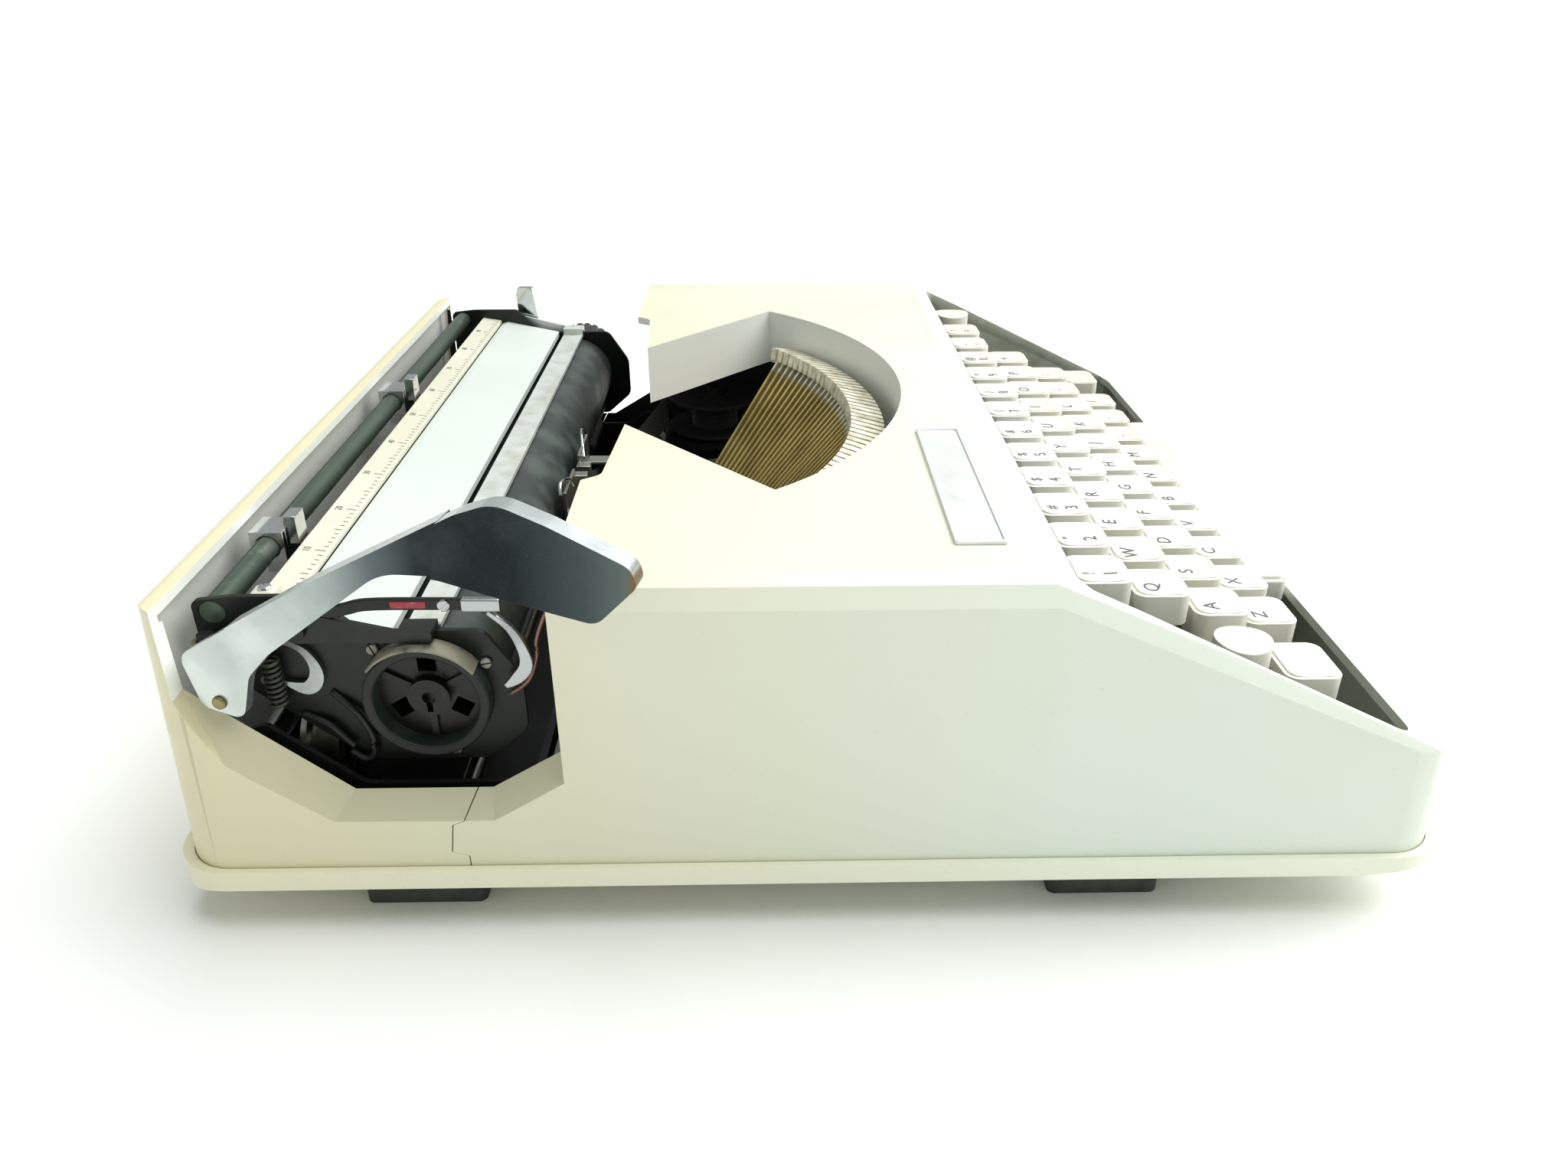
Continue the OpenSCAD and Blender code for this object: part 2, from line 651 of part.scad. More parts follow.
module carriage_frame() color("gray") {
    // web and top flange over the whole length
    box(end_left + plate_t, end_right - plate_t, web_y, web_y + 2, 41, flange_z + 2);
    box(end_left + plate_t, end_right - plate_t, web_y + 2, 134, flange_z, flange_z + 2);
    // shoes on the rear rod
    both_sides() difference() {
        box(-shoe_x - 6, -shoe_x + 6, 126.5, 135.5, 42.5, flange_z);
        rod_x(-far, far, rod_r + fit, rail_rear[0], rail_rear[1]);
    }
    // truck that reaches forward to the front rod
    box(-28, 28, web_y, web_y + 2, 35.5, 41);
    box(-28, 28, rail_front[0] - 4, web_y + 2, 34.6, 36.4);
    both_sides() difference() {
        box(-shoe_x - 6, -shoe_x + 6, rail_front[0] - 4, rail_front[0] + 4, 27, 34.6);
        rod_x(-far, far, front_rod_r + 0.1, rail_front[0], rail_front[1]);
        box(-40, 40, rail_front[0] - 2.6, rail_front[0] + 2.6, 26, rail_front[1]);
    }
}

module end_plate(x) difference() {
    along_x(x, x + plate_t) polygon(rounded([
        [70, 62, 6], [70, 47, 4], [80, 38.4, 3], [109.5, 38.4, 2], [143.4, 66.6, 2], [143.4, 83, 2],
        [134, 84, 2], [116, 84, 3], [106, 74.5, 4], [78, 74.5, 4]]));
    rod_x(x - 1, x + 5, margin_r, margin_axis[0], margin_axis[1]);
    rod_x(x - 1, x + 5, 2, bail_pivot[0], bail_pivot[1]);
}

module end_plate_left() color("dimgray") {
    difference() {
        end_plate(end_left);
        rod_x(-far, far, platen_r + 0.1, axis_y, axis_z);
    }
    rod_x(end_left - 5, end_left + plate_t, 2, bail_pivot[0], bail_pivot[1]);
    // shelf and stud of the lever bracket
    box(-131.5, end_left, 138, 142.8, 70.2, 72);
    translate([bracket_at[0], bracket_at[1], 71]) cylinder(h = 6, r = 1.8);
}

module end_plate_right() color("dimgray") {
    difference() {
        end_plate(end_right - plate_t);
        rod_x(-far, far, 4 + fit, axis_y, axis_z);
    }
    rod_x(end_right - plate_t, end_right + 3.4, 2, bail_pivot[0], bail_pivot[1]);
    rod_x(end_right - plate_t, end_right + 6.5, 1.5, release_pivot[0], release_pivot[1]);
}

module paper_table() color("gainsboro") {
    along_x(end_left + plate_t, end_right - plate_t) polygon([
        [99, 72.6], [100.5, 72.2], [121, 76.8], [121, 77.8], [122.4, 77.8], [122.4, 78.4], [120, 79],
        [99, 74.6]]);
    box(end_left + plate_t, end_right - plate_t, 114, 115.2, flange_z + 2, 75.4);
}

module margin_scale() color("ivory")
    along_x(end_left + plate_t, end_right - plate_t) polygon([
        [122.8, 78.2], [130.5, 79.4], [130.5, 80.9], [122.8, 79.7]]);

module margin_rail() color("darkseagreen")
    rod_x(end_left, end_right, margin_r, margin_axis[0], margin_axis[1]);

module paper_pan() color("silver") difference() {
    along_x(end_left + plate_t, end_right - plate_t) difference() {
        translate([axis_y, axis_z]) difference() {
            circle(r = platen_r + 1.6);
            circle(r = platen_r + 0.8);
            rotate(25) translate([-40, 0]) square([80, 40]);
            rotate(-105) translate([-40, -40]) square([80, 40]);
        }
    }
    for (x = [-90:60:90]) translate([x, axis_y, axis_z]) rotate([-60, 0, 0]) box(-16, 16, 0, 30, -5, 5);
}

module feed_rollers() color("dimgray") for (a = [-125, -60])
    translate([0, axis_y + 18 * cos(a), axis_z + 18 * sin(a)]) {
        rod_x(end_left + plate_t, end_right - plate_t, 1.2, 0, 0);
        for (x = [-90:60:90]) rod_x(x - 15, x + 15, 2.7, 0, 0);
    }

module escapement_rack() color("silver") {
    box(-106, 106, rack_y, rack_y + 2, wheel_z + wheel_r + 1.2, flange_z);
    along_y(rack_y, rack_y + 2) for (i = [-41:41]) translate([(i + 0.5) * tooth_pitch, wheel_z + wheel_r])
        polygon([[-0.6, 1.3], [0.6, 1.3], [0.2, -0.5], [-0.2, -0.5]]);
}

// ---- Platen ----

module platen_roller() color("black") difference() {
    rod_x(platen_left, platen_right, platen_r, axis_y, axis_z);
    rod_x(platen_left - 1, platen_right + 1, platen_r - 2.5, axis_y, axis_z);
}

module platen_hub() color("dimgray") {
    rod_x(platen_left + 5, platen_right, 4, axis_y, axis_z);
    difference() {
        rod_x(platen_left + 5, platen_left + 8, platen_r - 2.5, axis_y, axis_z);
        translate([0, axis_y, axis_z]) for (a = [90, 210, 330]) rotate([a, 0, 0])
            box(platen_left + 4, platen_left + 9, 6, 10.5, -2.2, 2.2);
    }
    translate([0, axis_y, axis_z]) for (a = [30, 150, 270]) rotate([a, 0, 0])
        box(platen_left + 4, platen_left + 5, 4, 12, -0.8, 0.8);
    difference() {
        rod_x(platen_left + 2.5, platen_left + 5, 5, axis_y, axis_z);
        rod_x(platen_left + 2, platen_left + 4.5, 1.6, axis_y, axis_z);
        box(platen_left + 2, platen_left + 4.5, axis_y - 0.7, axis_y + 0.7, axis_z - 4, axis_z);
    }
    rod_x(platen_right - 8, platen_right, platen_r - 2.5, axis_y, axis_z);
    rod_x(platen_right, knob_end - 1, 4, axis_y, axis_z);
    // line-space ratchet
    for (i = [0:19]) translate([0, axis_y, axis_z]) rotate([i * 18, 0, 0])
        along_x(end_right + 1, end_right + 3) polygon([[9.9, -1.2], [12, 0], [9.9, 1.2]]);
    rod_x(end_right + 1, end_right + 3, 10.2, axis_y, axis_z);
}

module platen_knob() color("black") difference() {
    union() {
        rod_x(139, 142, 12, axis_y, axis_z);
        rod_x(142, knob_end - 1, 14, axis_y, axis_z);
        rod_x(knob_end - 1, knob_end, 12.8, axis_y, axis_z);
    }
    rod_x(130, knob_end - 1, 4, axis_y, axis_z);
    for (a = [0:15:345]) translate([0, axis_y, axis_z]) rotate([a, 0, 0])
        rod_x(143, knob_end + 1, 0.9, 14.3, 0);
}

// ---- Levers of the carriage ----

module lever_bracket() color("silver") difference() {
    union() {
        translate([bracket_at[0], bracket_at[1], 72.3]) cylinder(h = 3.1, r = 3.2);
        box(-133.4, bracket_at[0], 135, 139, 72.3, 75.4);
        // ear and pin of the lever
        translate(lever_pin) rotate([0, 0, -lever_yaw]) {
            rod_x(1.2, 3.2, 4.6, 0, 0);
            rod_x(-2.4, 3.2, 1.6, 0, 0);
            box(1.2, 3.2, -3, 2.2, 0, 11);
        }
    }
    translate([bracket_at[0], bracket_at[1], 60]) cylinder(h = 30, r = 1.8 + fit);
}

// Side outline of the lever, with s forwards from the pin and z up from it
lever_outline = rounded([
    [-4.6, -1.6, 3], [5.2, -4.1, 3], [9, 7.7, 6], [15, 14, 6], [45.3, 36.9, 14], [58, 37.5, 14],
    [78.1, 33.1, 12],
    [91.6, 30.5, 4], [100.6, 39.8, 2], [99.7, 43.8, 4], [83.2, 51.4, 20], [72.7, 55.3, 9], [64.3, 52.2, 9],
    [27.2, 32.4, 0], [-7.4, 11.4, 4]]);

module return_lever() color("silver") translate(lever_pin) rotate([0, 0, -lever_yaw]) mirror([0, 1, 0])
    difference() {
        union() {
            along_x(-1.6, 0.9) polygon(lever_outline);
            // thicker grip
            along_x(-2.9, 2.1) intersection() {
                polygon(lever_outline);
                polygon([[62, 60], [54, 20], [120, 20], [120, 60]]);
            }
            // folded top flange
            along_x(-1.6, 4.2)
                polygon([[6, 19.8], [6, 18.6], [27, 30.8], [60, 48.4], [60, 50], [27.2, 32.4]]);
        }
        rod_x(-9, 9, 1.6 + fit, 0, 0);
    }

module paper_bail() color("gainsboro") {
    bar = [88.8, 96.8];                                     // front and rear edge
    inner = [end_left + plate_t + gap, end_right - plate_t - gap];
    arm = [end_left - 3.5, end_right + 1.5];                // left faces of the arms outside the end plates
    box(inner[0], inner[1], bar[0], bar[1], 72.6, 73.8);
    // the ends of the bar step up over the end plates to the arms
    for (x = [inner[0], inner[1] - 1.2]) box(x, x + 1.2, bar[0], bar[1], 72.6, 76.1);
    box(arm[0], inner[0] + 1.2, bar[0], bar[1], 74.9, 76.1);
    box(inner[1] - 1.2, arm[1] + 1.5, bar[0], bar[1], 74.9, 76.1);
    for (x = arm) difference() {
        along_x(x, x + 1.5) polygon(rounded([
            [bar[0], 73.4, 0], [bar[1], 73.4, 0], [115, 73.6, 3], [122.5, 73.4, 3],
            [122.5, 80.6, 3], [114, 80.6, 3], [96, 76.1, 3], [bar[0], 76.1, 0]]));
        rod_x(x - 1, x + 3, 2 + fit, bail_pivot[0], bail_pivot[1]);
    }
}

module margin_stop() difference() {
    union() {
        box(-5, 5, 134.6, 143.2, 75.6, 84.2);
        box(-3, 3, 131.4, 134.6, 80, 87.6);
        box(-1, 1, 136, 142, 71, 75.6);
    }
    rod_x(-9, 9, margin_r + fit, margin_axis[0], margin_axis[1]);
}

module margin_stop_left() color("silver") translate([-85, 0, 0]) margin_stop();

module margin_stop_right() color("silver") translate([28, 0, 0]) margin_stop();

module paper_release() color("silver") difference() {
    union() {
        along_x(end_right + 3.9, end_right + 5.4) polygon(rounded([
            [105, 62, 3], [112, 60, 3], [116, 74, 4], [117, 92, 3], [110, 92, 3], [108, 76, 4]]));
        box(end_right + 5.4, end_right + 11, 110.5, 116.5, 84, 91);
    }
    rod_x(end_right, end_right + 8, 1.5 + fit, release_pivot[0], release_pivot[1]);
}

base_tray();
rubber_feet();
case_screws();
top_cover();
rear_cover();
badge_plate();
side_frame_left();
side_frame_right();
cross_members();
key_comb();
fulcrum_rod();
rear_rail();
front_rail();
spool_deck();
ribbon();
type_guide();
bell();
rear_brackets();
type_segment();
typebars();
center_typebar();
caps_row_1();
caps_row_2();
caps_row_3();
caps_row_4();
levers_row_1();
levers_row_2();
levers_row_3();
levers_row_4();
center_cap();
center_lever();
space_bar();
space_bar_arms();
shift_caps();
shift_levers();
lock_key();
backspace_key();
spool_left();
spool_right();
ribbon_vibrator();
escapement_wheel();
mainspring_drum();
carriage_frame();
end_plate_left();
end_plate_right();
paper_table();
margin_scale();
margin_rail();
paper_pan();
feed_rollers();
escapement_rack();
platen_roller();
platen_hub();
platen_knob();
lever_bracket();
return_lever();
paper_bail();
margin_stop_left();
margin_stop_right();
paper_release();
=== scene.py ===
import bpy
import bmesh
import json
import math
import random
from mathutils import Matrix, Vector


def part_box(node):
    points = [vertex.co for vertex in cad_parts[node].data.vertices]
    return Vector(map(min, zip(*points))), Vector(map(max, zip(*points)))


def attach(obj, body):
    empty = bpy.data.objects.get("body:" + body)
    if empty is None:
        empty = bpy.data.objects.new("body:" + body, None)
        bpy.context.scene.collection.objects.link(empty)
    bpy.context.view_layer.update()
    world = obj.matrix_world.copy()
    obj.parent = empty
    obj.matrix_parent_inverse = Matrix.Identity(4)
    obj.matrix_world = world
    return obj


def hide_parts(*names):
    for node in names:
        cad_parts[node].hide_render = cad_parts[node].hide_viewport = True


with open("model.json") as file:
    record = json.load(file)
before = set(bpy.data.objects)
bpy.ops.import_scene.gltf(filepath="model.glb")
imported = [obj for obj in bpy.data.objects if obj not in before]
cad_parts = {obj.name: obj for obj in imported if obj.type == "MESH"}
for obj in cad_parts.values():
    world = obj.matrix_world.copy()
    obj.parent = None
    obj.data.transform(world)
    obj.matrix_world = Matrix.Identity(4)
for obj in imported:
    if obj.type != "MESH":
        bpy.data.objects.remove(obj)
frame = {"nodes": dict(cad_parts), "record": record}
NODES = frame["nodes"]
BODY = {n: b for b, ns in frame["record"]["behaviour"]["bodies"].items() for n in ns}
SLOT = {p["node"]: p["material_slot"] for p in frame["record"]["subparts"]}
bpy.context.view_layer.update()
MM = 0.001


def box_mm(node):
    """Lowest and highest corner of the node's box, in millimetres to three decimals."""
    return [Vector([round(c / MM, 3) for c in corner]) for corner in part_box(node)]


# ---------------------------------------------------------------- materials


def srgb(r, g, b):
    """Linear colour from 0-255 display values."""
    def one(c):
        c /= 255.0
        return c / 12.92 if c <= 0.04045 else ((c + 0.055) / 1.055) ** 2.4
    return (one(r), one(g), one(b), 1.0)


class Shader:
    """A Principled material and the few nodes that most surfaces share."""

    def __init__(self, name):
        self.mat = bpy.data.materials.new(name)
        self.mat.use_nodes = True
        self.tree = self.mat.node_tree
        self.bsdf = self.tree.nodes["Principled BSDF"]
        self.coord = self.tree.nodes.new("ShaderNodeTexCoord").outputs["Object"]

    def node(self, kind, **values):
        n = self.tree.nodes.new(kind)
        for key, value in values.items():
            if key in n.inputs:
                n.inputs[key].default_value = value
            else:
                setattr(n, key, value)
        return n

    def link(self, a, b):
        self.tree.links.new(a, b)

    def noise(self, scale, detail=4.0, stretch=(1, 1, 1), rough=0.5):
        """Noise from 0 to 1 in the piece's own space, finer along an axis that stretch multiplies."""
        mapping = self.node("ShaderNodeMapping")
        mapping.inputs["Scale"].default_value = stretch
        self.link(self.coord, mapping.inputs["Vector"])
        n = self.node("ShaderNodeTexNoise", Scale=scale, Detail=detail, Roughness=rough)
        self.link(mapping.outputs["Vector"], n.inputs["Vector"])
        return n.outputs["Fac"]

    def ramp(self, fac, low, high, a, b):
        """Colour a below low, colour b above high."""
        return self.steps(fac, [(low, a), (high, b)])

    def spread(self, fac, low, high, a, b):
        """Number from a to b as fac goes from low to high."""
        m = self.node("ShaderNodeMapRange")
        m.inputs["From Min"].default_value = low
        m.inputs["From Max"].default_value = high
        m.inputs["To Min"].default_value = a
        m.inputs["To Max"].default_value = b
        self.link(fac, m.inputs["Value"])
        return m.outputs["Result"]

    def mix(self, fac, a, b, blend="MIX"):
        """Blend of two colours; each of fac, a and b is a value or a socket."""
        m = self.node("ShaderNodeMix", data_type="RGBA", blend_type=blend)
        if isinstance(fac, (int, float)):
            m.inputs["Factor"].default_value = fac
        else:
            self.link(fac, m.inputs["Factor"])
        color_a, color_b, color_out = m.inputs[6], m.inputs[7], m.outputs[2]
        for socket, value in ((color_a, a), (color_b, b)):
            if isinstance(value, tuple):
                socket.default_value = value
            else:
                self.link(value, socket)
        return color_out

    def part_of(self, vector, letter):
        """One coordinate of a vector socket."""
        parts = self.node("ShaderNodeSeparateXYZ")
        self.link(vector, parts.inputs["Vector"])
        return parts.outputs[letter]

    def axis(self, letter):
        """Coordinate in the piece's own space, in metres."""
        return self.part_of(self.coord, letter)

    def steps(self, fac, stops):
        """Colour that passes through the (position, colour) stops as fac goes from 0 to 1."""
        r = self.node("ShaderNodeValToRGB")
        elements = r.color_ramp.elements
        while len(elements) < len(stops):
            elements.new(0.5)
        for element, (position, color) in zip(elements, stops):
            element.position = position
            element.color = color
        self.link(fac, r.inputs["Fac"])
        return r.outputs["Color"]

    def bump(self, height, strength, distance, under=None):
        """Normal of a relief with the given height, on top of another relief where there is one."""
        b = self.node("ShaderNodeBump", Strength=strength, Distance=distance)
        self.link(height, b.inputs["Height"])
        if under is not None:
            self.link(under, b.inputs["Normal"])
        return b.outputs["Normal"]

    def finish(self, color, roughness=None, normal=None, **sockets):
        """Wires the surface up; sockets are plain values, with _ for a space in the socket's name."""
        self.link(color, self.bsdf.inputs["Base Color"])
        if roughness is not None:
            self.link(roughness, self.bsdf.inputs["Roughness"])
        if normal is not None:
            self.link(normal, self.bsdf.inputs["Normal"])
        for key, value in sockets.items():
            self.bsdf.inputs[key.replace("_", " ")].default_value = value
        return self.mat


# the case turns warmer and darker towards the back: y in metres where its rear colour sets in and where it
# is full
REAR_TONE_FROM, REAR_TONE_TO = -0.06, 0.15


def moulded_plastic(name, light, aged, dirt, rough=0.34, grain=0.05, rear=None):
    """Moulded plastic: faint yellowing in patches, fine texture, thin dirt, varying gloss.

    rear is the colour that the plastic turns to towards the back of the machine.
    """
    s = Shader(name)
    patches = s.noise(9.0, 3.0)
    color = s.ramp(patches, 0.35, 0.7, light, aged)
    if rear is not None:
        color = s.mix(s.spread(s.axis("Y"), REAR_TONE_FROM, REAR_TONE_TO, 0.0, 1.0), color, rear)
    specks = s.noise(650.0, 2.0)
    color = s.mix(s.spread(specks, 0.68, 0.8, 0.0, 0.12), color, dirt)
    smears = s.noise(38.0, 6.0, (1.0, 0.35, 1.6))
    roughness = s.spread(smears, 0.3, 0.75, rough - 0.06, rough + 0.12)
    fine = s.bump(s.noise(1500.0, 2.0), grain, 0.0002)
    wave = s.bump(s.noise(26.0, 2.0), 0.03, 0.002, fine)
    return s.finish(color, roughness, wave, Specular_IOR_Level=0.5, Coat_Weight=0.08, Coat_Roughness=0.25)


def bright_metal(name, tone, stain, rough=0.12, scratches=0.5):
    """Plated or bare bright metal with hairlines, haze and small stains."""
    s = Shader(name)
    haze = s.noise(60.0, 6.0)
    color = s.ramp(haze, 0.42, 0.78, tone, stain)
    lines = s.noise(420.0, 3.0, (0.25, 3.0, 3.0))
    roughness = s.spread(haze, 0.35, 0.75, rough, rough + 0.16)
    normal = s.bump(lines, 0.10 * scratches, 0.0002)
    return s.finish(color, roughness, normal, Metallic=1.0)


def coated_metal(name, tone, worn, rough=0.45, metallic=0.3, wear=0.66):
    """Lacquered or blackened sheet steel, rubbed through in small spots."""
    s = Shader(name)
    blotch = s.noise(120.0, 7.0, rough=0.62)
    color = s.mix(s.spread(blotch, wear, wear + 0.1, 0.0, 0.8), tone, worn)
    soft = s.noise(22.0, 3.0)
    roughness = s.spread(soft, 0.3, 0.7, rough - 0.12, rough + 0.15)
    normal = s.bump(s.noise(900.0, 3.0), 0.12, 0.0002)
    return s.finish(color, roughness, normal, Metallic=metallic)


# the return lever from its root to the tip of its grip: y in metres
LEVER_ROOT, LEVER_TIP = 0.125, 0.035


def lever_plate(name):
    """Return-lever plating with a painted reflection and a painted highlight.

    The painted reflection makes it pale at the root and dark along the grip. It is speckled along the grip
    and brown at the worn tip, and it has a painted highlight where it faces up or down.
    """
    s = Shader(name)
    along = s.spread(s.axis("Y"), LEVER_ROOT, LEVER_TIP, 0.0, 1.0)
    # painted reflection: colour along the lever, pale at the root and dark along the grip
    side = s.steps(along, [
        (0.0, srgb(208, 215, 210)),
        (0.2, srgb(182, 191, 188)),
        (0.36, srgb(92, 102, 106)),
        (0.47, srgb(24, 28, 32)),
        (0.7, srgb(28, 34, 36)),
        (0.86, srgb(62, 72, 72)),
        (0.955, srgb(88, 98, 96)),
        (0.975, srgb(118, 90, 50)),
    ])
    side = s.mix(s.spread(s.noise(45.0, 5.0), 0.45, 0.7, 0.0, 0.35), side, srgb(84, 92, 92))
    specks = s.noise(3200.0, 2.0)
    side = s.mix(s.spread(specks, 0.62, 0.8, 0.0, 0.1), side, srgb(150, 162, 164))
    # painted highlight: faces that look up or down are made nearly white
    facing = s.node("ShaderNodeNewGeometry").outputs["Normal"]
    level = s.node("ShaderNodeMath", operation="ABSOLUTE")
    s.link(s.part_of(facing, "Z"), level.inputs[0])
    color = s.mix(s.spread(level.outputs["Value"], 0.25, 0.6, 0.0, 0.9), side, srgb(232, 238, 238))
    haze = s.noise(60.0, 6.0)
    roughness = s.spread(haze, 0.35, 0.75, 0.2, 0.34)
    normal = s.bump(s.noise(500.0, 3.0, (3.0, 0.3, 3.0)), 0.06, 0.0002)
    return s.finish(color, roughness, normal, Metallic=0.85)


# the typebars stand round this point, in metres; their slugs lie further from it than SLUG_REACH
TYPE_CENTER, SLUG_REACH, SLUG_BLEND = (0.0, 0.1, 0.0), 0.115, 0.0005


def type_metal(name, tone, stain, slug, slug_edge):
    """Bronze typebars that end in nickelled type slugs."""
    s = Shader(name)
    haze = s.noise(60.0, 6.0)
    color = s.ramp(haze, 0.42, 0.78, tone, stain)
    plan = s.node("ShaderNodeCombineXYZ")
    s.link(s.axis("X"), plan.inputs["X"])
    s.link(s.axis("Y"), plan.inputs["Y"])
    reach = s.node("ShaderNodeVectorMath", operation="DISTANCE")
    s.link(plan.outputs["Vector"], reach.inputs[0])
    reach.inputs[1].default_value = TYPE_CENTER
    outer = s.spread(reach.outputs["Value"], SLUG_REACH - SLUG_BLEND, SLUG_REACH + SLUG_BLEND, 0.0, 1.0)
    grime = s.ramp(s.noise(260.0, 5.0), 0.4, 0.7, slug, slug_edge)
    color = s.mix(outer, color, grime)
    roughness = s.spread(haze, 0.35, 0.75, 0.36, 0.52)
    lines = s.noise(420.0, 3.0, (0.25, 3.0, 3.0))
    return s.finish(color, roughness, s.bump(lines, 0.12, 0.0002), Metallic=0.6)


def two_tone(name, letter, edge, below, above, rough=0.6, metallic=0.0):
    """Paint that changes colour at one value of an axis, with thin grime all over."""
    s = Shader(name)
    blend = 0.001
    color = s.mix(s.spread(s.axis(letter), edge - blend, edge + blend, 0.0, 1.0), below, above)
    grime = s.ramp(s.noise(150.0, 6.0), 0.4, 0.75, srgb(255, 255, 255), srgb(226, 222, 208))
    roughness = s.spread(s.noise(40.0, 4.0), 0.3, 0.7, rough - 0.1, rough + 0.15)
    normal = s.bump(s.noise(900.0, 3.0), 0.08, 0.0002)
    return s.finish(s.mix(1.0, color, grime, "MULTIPLY"), roughness, normal, Metallic=metallic)


def rubber(name, tone, dust, rough=0.6):
    """Rubber with a bloom of dust and a finely pitted skin."""
    s = Shader(name)
    bloom = s.noise(75.0, 6.0)
    color = s.ramp(bloom, 0.45, 0.85, tone, dust)
    roughness = s.spread(bloom, 0.3, 0.7, rough - 0.1, rough + 0.18)
    normal = s.bump(s.noise(2200.0, 2.0), 0.18, 0.0001)
    return s.finish(color, roughness, normal)


def woven(name, tone, sheen):
    """Inked ribbon: a tight plain weave."""
    s = Shader(name)
    waves = []
    for turn in ((0, 0, 0), (0, math.pi / 2, 0)):
        mapping = s.node("ShaderNodeMapping")
        mapping.inputs["Rotation"].default_value = turn
        s.link(s.coord, mapping.inputs["Vector"])
        w = s.node("ShaderNodeTexWave", Scale=900.0, Distortion=0.4)
        s.link(mapping.outputs["Vector"], w.inputs["Vector"])
        waves.append(w.outputs["Color"])
    weave = s.mix(0.5, waves[0], waves[1])
    color = s.mix(s.spread(s.noise(90.0), 0.4, 0.8, 0.0, 0.5), tone, sheen)
    return s.finish(color, None, s.bump(weave, 0.3, 0.0001), Roughness=0.8, Sheen_Weight=0.3)


def painted_floor(name):
    """Pale matt floor paint."""
    s = Shader(name)
    color = s.ramp(s.noise(3.0), 0.3, 0.7, srgb(250, 250, 248), srgb(246, 247, 245))
    return s.finish(color, s.spread(s.noise(18.0), 0.3, 0.7, 0.6, 0.75))


# inside the covers the pale face ends at this y and painted shade starts behind it, and the paper bail is
# black up to this x, both in metres
PALE_LINING_TO, BLACK_BAIL_TO = -0.041, -0.119

